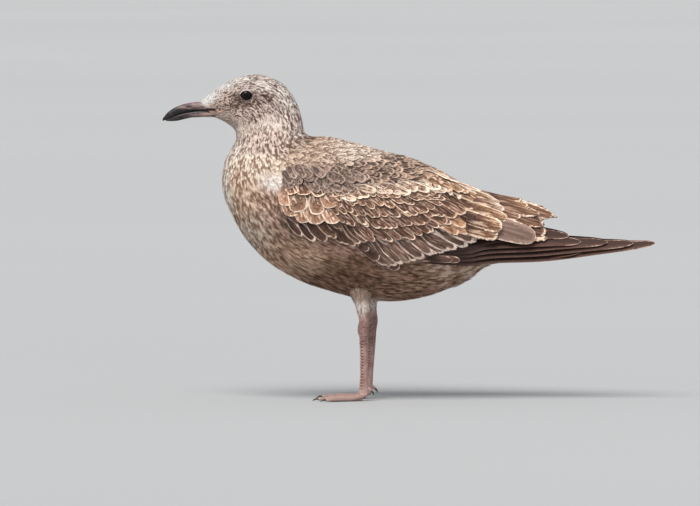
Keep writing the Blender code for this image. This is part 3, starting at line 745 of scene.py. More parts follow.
def make_plumage_finish(name, roughness, specular, barbs_per_length, barb_tone, relief, dusk):
    """dusk is how much painted shade darkens a feather towards its root, where the feathers above lie over
    it.
    """
    finish, tree, shader = new_material(name, roughness, specular)
    along, across, rim_place = parts(named_value(tree, "vane", "Vector"))
    heart_width, barred, fringe = parts(named_value(tree, "pattern", "Vector"))
    blotch = minus(grain(tree, 300.0, 4.0, roughness=0.6), 0.5)
    # the feather's own streaks run along it; the heart's width sets where in the noise they are read
    own_place = vector_of(times(along, 2.6), times(across, 3.2), times(heart_width, 60.0))
    streak = add_node(tree, "ShaderNodeTexNoise", None,
                      {"Vector": own_place, "Scale": 1.3, "Detail": 3.0}).outputs["Fac"]
    from_shaft = calc("ABSOLUTE", across)
    # the dark mark fills the feather's heart; bars and flecks cut it where the pattern asks for them
    near_rim = plus(rim_place, times(blotch, 0.8))
    heart = minus(1.0, soft_step(minus(heart_width, HEART_BLUR), plus(heart_width, HEART_BLUR), near_rim))
    slant = minus(times(along, 30.0), times(from_shaft, 5.0))
    wave = calc("SINE", plus(slant, times(blotch, 22.0)))
    bars = times(soft_step(0.0, 0.6, wave), barred)
    share = times(times(heart, named_value(tree, "mark", "Alpha")), minus(1.0, bars), clamp=True)
    share = times(share, plus(0.55, soft_step(0.62, 0.38, streak)), clamp=True)
    colour = mix_colour(share, named_value(tree, "ground"), named_value(tree, "mark"))
    pale_flecks = times(times(soft_step(0.54, 0.66, streak), barred), 0.9, clamp=True)
    colour = mix_colour(pale_flecks, colour, named_value(tree, "edge"))
    # the pale fringe follows the rim and is worn away here and there
    uneven = plus(rim_place, times(blotch, 0.34))
    rim = soft_step(minus(0.95, fringe), minus(1.03, fringe), uneven)
    rim = times(rim, soft_step(0.30, 0.52, grain(tree, 170.0, 3.0)))
    rim = times(rim, named_value(tree, "edge", "Alpha"), clamp=True)
    colour = mix_colour(rim, colour, named_value(tree, "edge"))
    # barbs: fine slanting lines, a little lighter and darker
    phase = times(minus(along, times(from_shaft, 0.22)), barbs_per_length)
    barb = calc("SINE", plus(phase, times(blotch, 8.0)))
    worn = plus(times(barb, barb_tone), plus(times(grain(tree, 1300.0, 3.0), 0.4), times(streak, 0.6)))
    # painted shade: towards its root a feather is darker, where the feathers lying over it would shade it
    root_shade = minus(1.0, soft_step(0.15, 0.62, along))
    tone = minus(plus(worn, 0.52), times(root_shade, dusk))
    paint(shader, mix_colour(1.0, colour, vector_of(tone, tone, tone), "MULTIPLY"))
    shaft = minus(1.0, soft_step(0.03, 0.09, from_shaft))
    bump(shader, plus(times(barb, 0.3), shaft), relief, 0.0003)
    return finish


soft_finish = make_plumage_finish("soft small feathers", 0.85, 0.2, 60.0, 0.05, 0.25, 0.30)
firm_finish = make_plumage_finish("firm wing feathers", 0.66, 0.28, 150.0, 0.07, 0.5, 0.45)
print("finishes", soft_finish.name, "and", firm_finish.name)

# %% [markdown]
# A feather is drawn once, flat and one unit long, and then repeated. There are two families. A
# loose feather is a fan of narrow tapering locks, as on the breast, where the barbs don't hold
# together. A firm feather is one vane with a rounded tip, as on the back and wing, and wear frays
# its tip. Each comes in a few variants, so that no pattern shows. Every point keeps its place in
# the vane: along, across, and nearness to the rim.

# %% Feathers drawn once
def vane_mesh(name, points, faces, vane, form):
    """A hidden feather to be repeated; form is the share of the camber at each point."""
    data = bpy.data.meshes.new(name)
    data.from_pydata(points, [], faces)
    data.shade_smooth()
    write_attribute(data, "vane", vane)
    write_attribute(data, "form", form)
    return bpy.data.objects.new(name, data)


def loose_feather(name, locks, steps, seed, fan, ragged, slim):
    random = np.random.default_rng(seed)
    points, faces, vane, form = [], [], [], []
    for j in range(locks):
        u = 0.0 if locks == 1 else fan * (2 * j / (locks - 1) - 1)
        u += random.uniform(-0.08, 0.08)
        reach = 1 - 0.22 * u * u - random.uniform(0, ragged)
        half, raised = slim * 1.25 / locks, random.uniform(0, 1)
        start = len(points)
        for i in range(steps + 1):
            t = reach * i / steps
            middle = u * (0.35 + 0.65 * math.sin(math.pi / 2 * min(1.0, t / 0.65)))
            wide = half * (0.55 + 0.45 * min(1, t / 0.3)) * (1 - (i / steps) ** 2.4)
            for edge in ((-1, 1) if i < steps else (0,)):
                across = middle + edge * wide
                points.append((t, across / 2, 0))
                vane.append((t, across, min(1.0, max(abs(across) * 0.8, (t - 0.55) / 0.45 * 0.95))))
                form.append((1 - middle ** 2) * 0.6 + raised * 0.5 * t + 0.15 * (1 - abs(edge)))
        for i in range(steps - 1):
            a = start + 2 * i
            faces.append((a, a + 2, a + 3, a + 1))
        a = start + 2 * (steps - 1)
        faces.append((a, a + 2, a + 1))
    return vane_mesh(name, points, faces, vane, form)


def ragged_ends(random, columns, fray):
    """How far each part of a tip has worn back: broad waves with fine teeth on them."""
    waves = np.interp(np.arange(columns), np.linspace(0, columns - 1, 5), random.uniform(0, fray, 5))
    return 0.65 * waves + 0.35 * random.uniform(0, fray, columns)


def firm_feather(name, columns, rows, seed, aspect, blunt, fray):
    random = np.random.default_rng(seed)
    across = np.sin(np.linspace(-1, 1, columns) * math.pi / 2)
    ends = 1 - blunt * (1 - np.sqrt(1 - (0.985 * across) ** 2)) - ragged_ends(random, columns, fray)
    share = 1 - (1 - np.linspace(0, 1, rows)) ** 1.5
    width = 0.5 + 0.5 * np.minimum(1, share / 0.4) - 0.10 * step_up(0.6, 1.0, share)
    points, vane, form = [], [], []
    for q, w in zip(share, width):
        for u, end in zip(across, ends):
            t = q * end
            rim = min((1 - abs(u)) * w, (end - t) * aspect)
            points.append((t, u * w / 2, 0))
            vane.append((t, u, 1 - min(1.0, rim)))
            form.append(1 - u * u)
    faces = [(i * columns + k, (i + 1) * columns + k, (i + 1) * columns + k + 1, i * columns + k + 1)
             for i in range(rows - 1) for k in range(columns - 1)]
    return vane_mesh(name, points, faces, vane, form)


LOOSE = {  # locks, steps along each, seed, fan, raggedness, slimness; how many variants
    "fluff": (3, 2, 10, 0.72, 0.16, 1.0, 4),
    "streak": (4, 3, 20, 0.62, 0.22, 1.0, 5),
    "down": (6, 3, 30, 0.80, 0.26, 0.9, 5),
}
FIRM = {  # columns, rows, seed, aspect, bluntness, fray; how many variants
    "scale": (11, 9, 40, 1.8, 0.40, 0.12, 6),
    "covert": (13, 13, 50, 2.6, 0.26, 0.05, 6),
    "worn": (19, 13, 60, 2.8, 0.22, 0.16, 6),
}
KINDS = {kind: [draw(f"{kind}_{i}", a, b, seed + i, *form) for i in range(variants)]
         for draw, table in ((loose_feather, LOOSE), (firm_feather, FIRM))
         for kind, (a, b, seed, *form, variants) in table.items()}


def store_kinds():
    shelves = {}
    for kind, feathers in KINDS.items():
        shelf = bpy.data.collections.new(f"feathers_{kind}")
        for feather in feathers:
            shelf.objects.link(feather)
        shelves[kind] = shelf
    return shelves


shelves = store_kinds()
print({kind: sum(len(p.vertices) - 2 for p in feathers[0].data.polygons)
       for kind, feathers in KINDS.items()}, "triangles each")

# %% [markdown]
# Two Geometry Nodes trees do the planting. The first scatters roots over one tract of the skin,
# no two nearer than the spacing. The second sets a feather on every root, turned to the lie, and
# then drapes it: each point of it goes to the nearest place on the skin and is raised from there
# by its own height, which grows towards the tip. So every tip lies over the roots behind it, as
# tiles do. The same tree writes the OFBake map, with each feather as a small patch at its root's
# place on the skin's own unwrap.

# %% Trees that scatter roots and plant feathers
LEAST_HEIGHT = 0.05 * MM  # of any feather's point over the skin


def new_tree(name, sockets):
    tree = bpy.data.node_groups.new(name, "GeometryNodeTree")
    tree.interface.new_socket("Geometry", in_out="INPUT", socket_type="NodeSocketGeometry")
    for label, kind in sockets:
        tree.interface.new_socket(label, in_out="INPUT", socket_type=f"NodeSocket{kind}")
    tree.interface.new_socket("Geometry", in_out="OUTPUT", socket_type="NodeSocketGeometry")
    return tree, tree.nodes.new("NodeGroupInput").outputs, tree.nodes.new("NodeGroupOutput")


def field(tree, name, kind="FLOAT_VECTOR"):
    return add_node(tree, "GeometryNodeInputNamedAttribute", {"data_type": kind},
                    {"Name": name}).outputs["Attribute"]


def vector_calc(operation, first, *second):
    """The result of one Vector Math node."""
    last = "Scale" if operation == "SCALE" else 1
    return add_node(first.id_data, "ShaderNodeVectorMath", {"operation": operation},
                    {0: first, **{last: value for value in second}}).outputs[0]


def scatter_tree():
    tree, given, out = new_tree("scatter roots", [("Spacing", "Float"), ("Tract", "String"),
                                                  ("Seed", "Int")])
    dense = calc("DIVIDE", 1.6, times(given["Spacing"], given["Spacing"]))
    points = add_node(tree, "GeometryNodeDistributePointsOnFaces", {"distribute_method": "POISSON"},
                      {"Mesh": given["Geometry"], "Distance Min": given["Spacing"], "Density Max": dense,
                       "Density Factor": field(tree, given["Tract"], "FLOAT"), "Seed": given["Seed"]})
    roots = add_node(tree, "GeometryNodePointsToVertices", None, {"Points": points.outputs["Points"]})
    tree.links.new(roots.outputs[0], out.inputs[0])
    return tree


def plant_tree():
    tree, given, out = new_tree("plant feathers", [
        ("Feathers", "Collection"), ("Skin", "Object"), ("Finish", "Material"),
        ("Patch", "Float"), ("Clear", "Float")])
    shelf = add_node(tree, "GeometryNodeCollectionInfo", None,
                     {"Collection": given["Feathers"], "Separate Children": True, "Reset Children": True})
    turn = add_node(tree, "FunctionNodeAxesToRotation", {"primary_axis": "Z", "secondary_axis": "X"},
                    {"Primary Axis": field(tree, "out"), "Secondary Axis": field(tree, "lie")})
    planted = add_node(tree, "GeometryNodeInstanceOnPoints", None,
                       {"Points": given["Geometry"], "Instance": shelf.outputs[0],
                        "Pick Instance": True, "Instance Index": field(tree, "variant", "INT"),
                        "Rotation": turn.outputs[0], "Scale": field(tree, "size")})
    solid = add_node(tree, "GeometryNodeRealizeInstances", None, {"Geometry": planted.outputs[0]})
    ground = add_node(tree, "GeometryNodeObjectInfo", {"transform_space": "ORIGINAL"},
                      {"Object": given["Skin"]}).outputs["Geometry"]
    nearest = add_node(tree, "GeometryNodeProximity", {"target_element": "FACES"}, {0: ground})
    where = add_node(tree, "GeometryNodeInputPosition").outputs[0]
    outward = add_node(tree, "GeometryNodeSampleNearestSurface", {"data_type": "FLOAT_VECTOR"},
                       {"Mesh": ground, "Value": field(tree, "out"), "Sample Position": where}).outputs[0]
    along, across, _ = parts(field(tree, "vane"))
    lift, tilt, camber = parts(field(tree, "raise"))
    # height = clear + base + lift * along + tilt * across * along + camber * form, and never below the skin
    tilted = times(times(tilt, across), calc("MINIMUM", 1.0, times(along, 2.5)))
    vaulted = times(camber, field(tree, "form", "FLOAT"))
    height = plus(plus(times(lift, along), tilted),
                  plus(vaulted, plus(given["Clear"], field(tree, "base", "FLOAT"))))
    lifted = vector_calc("SCALE", vector_calc("NORMALIZE", outward), calc("MAXIMUM", height, LEAST_HEIGHT))
    draped = add_node(tree, "GeometryNodeSetPosition", None,
                      {"Geometry": solid.outputs[0],
                       "Position": vector_calc("ADD", nearest.outputs["Position"], lifted)})
    # the patch of this feather on the skin's own unwrap
    patch = vector_calc("SCALE", vector_of(minus(along, 0.5), times(across, 0.45)), given["Patch"])
    baked = add_node(tree, "GeometryNodeStoreNamedAttribute", {"data_type": "FLOAT2", "domain": "CORNER"},
                     {"Geometry": draped.outputs[0], "Name": "OFBake",
                      "Value": vector_calc("ADD", field(tree, "place"), patch)})
    dressed = add_node(tree, "GeometryNodeSetMaterial", None,
                       {"Geometry": baked.outputs[0], "Material": given["Finish"]})
    tree.links.new(dressed.outputs[0], out.inputs[0])
    return tree


def set_input(modifier, label, value):
    """A modifier's input, set by its socket's identifier."""
    for item in modifier.node_group.interface.items_tree:
        if item.item_type == "SOCKET" and item.in_out == "INPUT" and item.name == label:
            modifier[item.identifier] = value
            return
    raise KeyError(label)


def run_tree(source, tree, inputs, name):
    """A new plain mesh from the source mesh, run through a tree."""
    helper = bpy.data.objects.new("helper", source)
    bpy.context.scene.collection.objects.link(helper)
    modifier = helper.modifiers.new("run", "NODES")
    modifier.node_group = tree
    for label, value in inputs.items():
        set_input(modifier, label, value)
    bpy.context.view_layer.update()
    graph = bpy.context.evaluated_depsgraph_get()
    made = bpy.data.meshes.new_from_object(helper.evaluated_get(graph),
                                           preserve_all_data_layers=True, depsgraph=graph)
    made.name = name
    bpy.data.objects.remove(helper)
    return made


scatter, plant = scatter_tree(), plant_tree()
print("trees", scatter.name, "and", plant.name)

# %% [markdown]
# A root is a point with everything its feather needs. The scattered ones get their size with a
# little chance in it, and their colours from the plumage areas: a root is marked or plain by a
# soft cloud noise mixed with chance, so that the mottling comes in flecks and not as a check.

# %% Roots for the scattered tracts
def read_vectors(data, name):
    flat = np.empty(len(data.vertices) * 3, np.float32)
    data.attributes[name].data.foreach_get("vector", flat)
    return flat.reshape(-1, 3).astype(float)


def scattered_roots(surface, tract, spacing, seed):
    """Roots strewn over one tract of a surface, spacing in millimetres."""
    data = run_tree(surface.data, scatter, {"Spacing": spacing * MM, "Tract": f"tract_{tract}",
                                            "Seed": seed}, "roots")
    roots = {"co": data_points(data), "lie": unit(read_vectors(data, "lie")),
             "out": unit(read_vectors(data, "out")), "place": read_vectors(data, "place")}
    bpy.data.meshes.remove(data)
    return roots


def joined(*sets):
    return {key: np.concatenate([s[key] for s in sets]) for key in sets[0]}


def sway(roots, random, spread):
    """Turns each feather a little off the lie, by chance."""
    sideways = np.cross(roots["out"], roots["lie"])
    return unit(roots["lie"] + sideways * random.normal(0, spread, len(sideways))[:, None])


GIRTH, RUN = 240 * MM, 560 * MM  # one turn and one run of the unwrap, as lengths
RIM_BLEACH = 0.26  # how far the worn rim of a firm feather is bleached towards cream
CREAM = (1.0, 0.80, 0.62)
MARKS = {  # heart, bars, fringe; flecks across and along in mm, their softness; mark and rim strength
    "face": ((0.70, 0.0, 0.05), (0.65, 2.2), 0.20, 0.50, 0.0),
    "head": ((0.60, 0.0, 0.10), (0.80, 4.8), 0.18, 0.50, 0.15),
    "neck": ((0.60, 0.0, 0.12), (1.5, 5.0), 0.20, 0.45, 0.20),
    "breast": ((0.60, 0.0, 0.12), (1.9, 3.6), 0.24, 0.45, 0.20),
    "belly": ((0.60, 0.0, 0.14), (0.85, 7.0), 0.42, 0.45, 0.30),
    "vent": ((0.70, 0.55, 0.20), (2.6, 6.0), 0.30, 0.80, 0.55),
    "mantle": ((0.76, 0.35, 0.18), (2.2, 5.0), 0.20, 0.95, 0.60),
    "shoulder": ((0.62, 0.80, 0.24), (4.4, 6.5), 0.14, 0.95, 0.60),
    "scapular": ((0.60, 0.75, 0.30), (4.6, 7.5), 0.13, 0.95, 0.85),
    "rump": ((0.78, 0.40, 0.20), (3.0, 6.0), 0.30, 0.85, 0.60),
}


def flecks(place, sizes, seed):
    """A streaky noise on the skin's own unwrap, spread evenly from 0 to 1."""
    across, along = sizes
    angle, radius = 2 * math.pi * place[:, 1], GIRTH / (2 * math.pi)
    spots = np.column_stack([place[:, 0] * RUN / (along * MM), np.cos(angle) * radius / (across * MM),
                             np.sin(angle) * radius / (across * MM)])
    values = cloud(spots, seed) + 0.45 * cloud(spots * 2.1, seed + 3)
    order = np.argsort(np.argsort(values))
    return (order + 0.5) / len(values)


def dress_roots(roots, tract, seed):
    """Sizes, heights and colours for scattered roots."""
    random = np.random.default_rng(seed)
    _, length, width, lift, kind = TRACTS[tract]
    (heart, bars, fringe), sizes, softness, strength, rim = MARKS[tract]
    count = len(roots["co"])
    pale, dark, share = plumage_at(roots["co"])
    fleck = flecks(roots["place"], sizes, seed) + random.normal(0, 0.06, count)
    depth = step_up(1 - share - softness, 1 - share + softness, fleck)[:, None]
    tone = random.normal(1.0, 0.08, count)[:, None]
    base_colour = (pale * (1 - depth) + dark * depth) * tone
    if kind == "scale":
        roots["ground"] = with_alpha((pale * (0.70 - 0.56 * depth) + dark * (0.30 + 0.56 * depth)) * tone)
        roots["mark"] = with_alpha(dark * tone, strength * (0.35 + 0.65 * depth[:, 0]))
    else:
        roots["ground"] = with_alpha(base_colour)
        roots["mark"] = with_alpha(base_colour * 0.55, strength)
    bleached = pale + (RIM_BLEACH if kind == "scale" else 0.0) * (np.array(CREAM) - pale)
    roots["edge"] = with_alpha(bleached * tone, rim * random.uniform(0.5, 1.0, count))
    roots["pattern"] = np.column_stack([heart + random.uniform(-0.12, 0.1, count),
                                        bars * random.uniform(0.4, 1.4, count),
                                        fringe * random.uniform(0.6, 1.3, count)])
    sizes = random.uniform(0.82, 1.18, (count, 2)) * (length * MM, width * MM)
    roots["size"] = np.column_stack([sizes, np.ones(count)])
    roots["raise"] = np.column_stack([lift * MM * random.uniform(0.7, 1.3, count),
                                      random.uniform(-0.22, 0.22, count) * lift * MM,
                                      0.25 * lift * MM * random.uniform(0.6, 1.4, count)])
    roots["base"] = random.uniform(0, 0.12, count) * MM
    roots["lie"] = sway(roots, random, 0.10)
    return roots


print("tracts with marks", len(MARKS))

# %% [markdown]
# A coat piece is planted at once: its roots become the points of a small mesh that carries all
# their facts, and the second tree puts a feather on each. What only the planting needed is then
# taken off, and the triangles are counted.

# %% Planting a coat
VARIANT_SEED, SCATTER_SEED, DRESS_SEED = 5, 11, 31
CLEAR = 0.15 * MM  # of a feather's root over the skin
USED_UP = ("lie", "out", "size", "raise", "base", "variant", "place", "form")  # what only the planting needs


def plant_coat(name, roots, kind, slot, patch=0.003, base=None):
    """One coat piece: a feather on every root, as a plain mesh that rides with the body."""
    random = np.random.default_rng(VARIANT_SEED)
    data = bpy.data.meshes.new(f"{name} roots")
    data.from_pydata([tuple(p) for p in roots["co"]], [], [])
    low, high = roots["place"].min(axis=0), roots["place"].max(axis=0)
    spread = (roots["place"] - low) / np.maximum(high - low, 1e-6) * 0.96 + 0.02
    spread[:, 2] = 0
    write_attribute(data, "place", spread)
    for key in ("lie", "out", "size", "raise", "pattern", "base"):
        write_attribute(data, key, roots[key])
    for key in ("ground", "mark", "edge"):
        write_attribute(data, key, np.clip(roots[key], 0, 1))
    write_attribute(data, "variant", random.integers(0, len(KINDS[kind]), len(roots["co"])))
    finish = firm_finish if kind in FIRM else soft_finish
    made = run_tree(data, plant, {"Feathers": shelves[kind], "Skin": base or skin, "Finish": finish,
                                  "Patch": patch, "Clear": CLEAR}, name)
    bpy.data.meshes.remove(data)
    for spare in USED_UP:
        if spare in made.attributes:
            made.attributes.remove(made.attributes[spare])
    coat = bpy.data.objects.new(name, made)
    bpy.context.scene.collection.objects.link(coat)
    hand_over(coat, slot)
    triangles = sum(len(p.vertices) - 2 for p in made.polygons)
    print(name, len(roots["co"]), "feathers", triangles, "triangles")


# %% [markdown]
# Ten coats cover the body, one for each tract. Each has seeds of its own, so that no two tracts
# repeat each other.

# %% The scattered coat
COATS = (("coat_face", "face", "head_feathers"), ("coat_head", "head", "head_feathers"),
         ("coat_neck", "neck", "head_feathers"), ("coat_breast", "breast", "body_feathers"),
         ("coat_belly", "belly", "body_feathers"), ("coat_vent", "vent", "body_feathers"),
         ("coat_mantle", "mantle", "back_feathers"), ("coat_shoulder", "shoulder", "back_feathers"),
         ("coat_scapular", "scapular", "back_feathers"), ("coat_rump", "rump", "body_feathers"))


def lay_scattered_coats():
    for number, (name, tract, slot) in enumerate(COATS):
        spacing, *_, kind = TRACTS[tract]
        roots = scattered_roots(skin, tract, spacing, SCATTER_SEED + number)
        plant_coat(name, dress_roots(roots, tract, DRESS_SEED + number), kind, slot)


lay_scattered_coats()

# %% [markdown]
# The wing's feathers stand in rows, and the rows are what makes a folded wing look ordered. A row
# is given by the line of its feathers' tips in the side view, how many stand in it, and how long,
# broad and steep they are at its front and its rear end. The lowest and longest row is laid
# first, and each row above lies on it. Every feather is tilted a little, so that its front edge
# lies on the one before it and shows its pale rim. The coverts over the wrist are the broadest and
# reddest, the inner ones near the back are golden, and two rows of grey feathers of the shoulder
# hang over the wing's upper edge.

# %% Rows of wing feathers
SHADES = {  # ground, mark, rim: colours of a feather's vane, heart and fringe
    "black": ((0.076, 0.035, 0.025), (0.042, 0.020, 0.014), (0.50, 0.35, 0.28)),
    "hollow": ((0.125, 0.065, 0.046), (0.056, 0.029, 0.020), (0.90, 0.70, 0.58)),
    "dark": ((0.275, 0.158, 0.117), (0.110, 0.060, 0.043), (0.90, 0.72, 0.61)),
    "brown": ((0.186, 0.089, 0.058), (0.053, 0.024, 0.014), (0.88, 0.67, 0.52)),
    "sandy": ((0.210, 0.101, 0.062), (0.056, 0.026, 0.016), (0.86, 0.64, 0.48)),
    "rust": ((0.345, 0.185, 0.117), (0.128, 0.061, 0.036), (0.91, 0.74, 0.58)),
    "golden": ((0.400, 0.215, 0.122), (0.143, 0.070, 0.037), (0.94, 0.75, 0.57)),
    "wrist": ((0.330, 0.182, 0.114), (0.130, 0.066, 0.040), (0.82, 0.66, 0.54)),
    "straw": ((0.700, 0.500, 0.370), (0.125, 0.064, 0.040), (0.90, 0.78, 0.65)),
    "ashy": ((0.235, 0.153, 0.121), (0.075, 0.046, 0.037), (0.42, 0.32, 0.27)),
    "grey": ((0.279, 0.182, 0.146), (0.162, 0.100, 0.078), (0.74, 0.58, 0.48)),
}
ROWS = {
    # name: tips (x, z) mm; count; lengths; widths; slopes in degrees (front, rear); shade;
    # heart, bars, fringe; base height mm; kind
    "edge": (((-58, 178), (-42, 174), (-26, 158), (-10, 154)), 5, (34, 40), (13, 14), (42, 40),
             "hollow", (0.6, 0.0, 0.06), -0.6, "covert"),
    "alula": (((-119, 191), (-108, 187), (-94, 185)), 3, (27, 30), (10, 12), (48, 42),
              "hollow", (0.6, 0.0, 0.22), -0.2, "covert"),
    "greater front": (((-90, 190), (-76, 184), (-64, 182), (-52, 183), (-42, 187)), 8, (29, 31),
                      (8, 9), (50, 44), "brown", (0.75, 0.2, 0.17), 0.1, "covert"),
    "greater": (((-25, 157), (-8, 158), (12, 163), (34, 170)), 9, (40, 44), (10.5, 12), (46, 36),
                "dark", (0.76, 0.15, 0.22), 0.2, "covert"),
    "greater rear": (((40, 171), (56, 174), (76, 180), (92, 186), (104, 195)), 9, (44, 46), (11, 12),
                     (34, 25), "dark", (0.76, 0.15, (0.26, 0.48)), 0.25, "worn"),
    "median low": (((-42, 187), (-20, 185), (0, 187), (20, 193), (38, 199), (52, 206)), 14,
                   (28, 32), (7.6, 9.4), (47, 28), "brown", (0.74, 0.30, 0.16), 0.7, "covert"),
    "median": (((-74, 205), (-52, 202), (-30, 199), (-8, 200), (12, 204), (28, 209), (44, 216)), 18,
               (26, 29), (7.2, 9), (50, 29), "brown", (0.76, 0.45, 0.16), 1.0, "covert"),
    "lesser low": (((-78, 215), (-52, 214), (-26, 212), (0, 214), (20, 217), (38, 223)), 18,
                   (22, 25), (7.2, 9), (52, 30), "sandy", (0.78, 0.60, 0.16), 1.3, "covert"),
    "lesser": (((-80, 226), (-52, 225), (-24, 224), (0, 225), (22, 228), (42, 232)), 18,
               (19, 23), (7.2, 9), (54, 30), "sandy", (0.80, 0.70, 0.16), 1.6, "covert"),
    "lesser top": (((-80, 236), (-52, 235), (-20, 235), (10, 236), (38, 238)), 18,
                   (17, 20), (7.2, 9), (54, 28), "sandy", (0.80, 0.70, 0.17), 1.9, "covert"),
    "wrist low": (((-131, 211), (-117, 205), (-101, 202), (-84, 205)), 4, (27, 27), (21, 22), (80, 68),
                  "wrist", (0.55, 1.2, 0.13), 0.9, "covert"),
    "wrist": (((-136, 225), (-122, 220), (-104, 218), (-86, 221)), 4, (24, 24), (20, 21), (82, 66),
              "wrist", (0.55, 1.6, 0.17), 1.4, "covert"),
    "wrist top": (((-132, 238), (-116, 235), (-98, 234), (-82, 235)), 4, (17, 18), (16, 17),
                  (76, 58), "sandy", (0.60, 1.0, 0.20), 1.8, "worn"),
    "inner low": (((70, 190), (84, 193), (97, 197), (106, 205)), 5, (50, 56), (14, 15), (27, 22), "rust",
                  (0.55, 0.3, 0.16), 1.0, "worn"),
    "inner mid": (((58, 192), (72, 200), (86, 207), (97, 213)), 5, (46, 52), (16, 16), (32, 26), "golden",
                  (0.64, 0.5, 0.16), 1.3, "worn"),
    "inner": (((46, 203), (58, 212), (70, 220), (82, 226)), 5, (38, 46), (17, 16), (36, 28), "sandy",
              (0.68, 0.45, 0.12), 1.7, "covert"),
    "inner top": (((52, 236), (66, 236), (82, 232), (98, 222)), 5, (38, 44), (13, 14), (28, 26), "golden",
                  (0.60, 0.6, 0.18), 2.0, "worn"),
    "shoulder low": (((-134, 247), (-108, 243), (-84, 242), (-62, 240)), 10, (17, 20), (10, 11), (52, 34),
                     "ashy", (0.72, 1.2, 0.22), 2.2, "worn"),
    "shoulder high": (((-128, 257), (-100, 253), (-72, 252), (-44, 252)), 11, (17, 20), (10, 11),
                      (46, 28), "ashy", (0.72, 1.3, 0.22), 2.5, "worn"),
    "shoulder edge": (((-64, 232), (-44, 236), (-18, 241), (14, 242), (46, 239)), 13, (24, 28),
                      (9, 10), (26, 18), "straw", (0.60, 0.9, 0.26), 2.8, "worn"),
    "shoulder rear": (((44, 250), (58, 249), (74, 245), (90, 240)), 8, (32, 38), (10, 11), (24, 24),
                      "straw", (0.45, 0.9, 0.50), 2.8, "worn"),
}
print("rows", len(ROWS))

# %% [markdown]
# A feather of a row is placed from its tip: a point on the row's line, with a little stray. Its
# root lies up and forwards from there by its length, along its slope. A ray from the side carries
# both points onto the skin, and the way from root to tip is the feather's lie.

# %% Feathers of the rows
TIP_SCATTER = 1.0  # how far a tip strays from its row's line, in millimetres
ROW_SEED = 100


def skin_tree():
    data = skin.data
    return BVHTree.FromPolygons([v.co.copy() for v in data.vertices],
                                [list(p.vertices) for p in data.polygons])


def nearest_places():
    tree = KDTree(len(skin.data.vertices))
    for i, vertex in enumerate(skin.data.vertices):
        tree.insert(vertex.co, i)
    tree.balance()
    return tree


skin_faces, skin_places = skin_tree(), nearest_places()
place_values, out_values = read_vectors(skin.data, "place"), read_vectors(skin.data, "out")


def on_flank(x, z, side):
    """The skin's point seen from the side at (x, z) in millimetres, its normal and its place."""
    start = Vector((x * MM, side * 0.2, z * MM))
    hit = skin_faces.ray_cast(start, Vector((0, -side, 0)), 0.19)[0]
    if hit is None:
        hit = skin_faces.find_nearest(Vector((x * MM, side * 0.02, z * MM)))[0]
    index = skin_places.find(hit)[1]
    return np.array(hit), out_values[index], place_values[index]


def row_roots(side, row, seed):
    tips, count, lengths, widths, slopes, shade, (heart, bars, fringe), base, _ = row
    fringe = fringe if isinstance(fringe, tuple) else (fringe, fringe)
    random = np.random.default_rng(seed)
    ground, mark, rim = (np.array(c) for c in SHADES[shade])
    rows = []
    for i in range(count):
        t = i / (count - 1) + random.normal(0, 0.12) / count
        stray = TIP_SCATTER * (0.8 + 0.5 * max(0.0, base))
        tip_x, tip_z = smooth_through(tips, t) + random.normal(0, stray, 2)
        length = np.interp(t, [0, 1], lengths) * random.uniform(0.93, 1.07)
        slope = math.radians(np.interp(t, [0, 1], slopes) + random.normal(0, 3.0))
        root_x, root_z = tip_x - length * math.cos(slope), tip_z + length * math.sin(slope)
        root, normal, place = on_flank(root_x, root_z, side)
        tip, _, _ = on_flank(tip_x, tip_z, side)
        tone = random.normal(1, 0.13)
        made = {"co": root, "out": normal, "lie": tip - root, "place": place, "ground": (*ground * tone, 1)}
        made["mark"] = (*mark * tone * random.uniform(0.85, 1.25), random.uniform(0.75, 1.0))
        made["edge"] = (*rim * random.normal(1, 0.08), random.uniform(0.72, 1.0))
        made["pattern"] = (heart * random.uniform(0.85, 1.1), bars * random.uniform(0.3, 1.6),
                           np.interp(t, [0, 1], fringe) * random.uniform(0.6, 1.3))
        width = np.interp(t, [0, 1], widths) * random.uniform(0.9, 1.15)
        made["size"] = (float(np.linalg.norm(tip - root)), width * MM, 1)
        lift, tilt = random.uniform(1.3, 2.4), random.uniform(0.5, 0.9)
        made["raise"] = np.array((lift, side * tilt, 0.6)) * MM
        made["base"] = (0.9 + base * 0.35 + random.uniform(-0.1, 0.1)) * MM
        rows.append(made)
    roots = {key: np.array([made[key] for made in rows], float) for key in rows[0]}
    roots["lie"] = unit(roots["lie"])
    return roots


def lay_wings():
    for name, side in SIDES.items():
        for kind in ("covert", "worn"):
            sets = [row_roots(side, row, ROW_SEED + i) for i, row in enumerate(ROWS.values())
                    if row[-1] == kind]
            plant_coat(f"wing_{name}_{kind}_feathers", joined(*sets), kind, "wing_feathers", patch=0.03)


lay_wings()

# %% [markdown]
# The long feathers of wing and tail are made one by one, since each is seen whole. A long feather
# is a thin vaulted blade along a curved shaft. Its outline narrows to a rounded or pointed tip,
# its shaft stands up as a fine ridge nearer to one edge, and wear has frayed the pale tips of the
# uppermost. It is a closed shell: the upper face, the under face, and the rim between them. A blade
# may also twist, so that its root stands on edge against the flank and its tip lies flat.

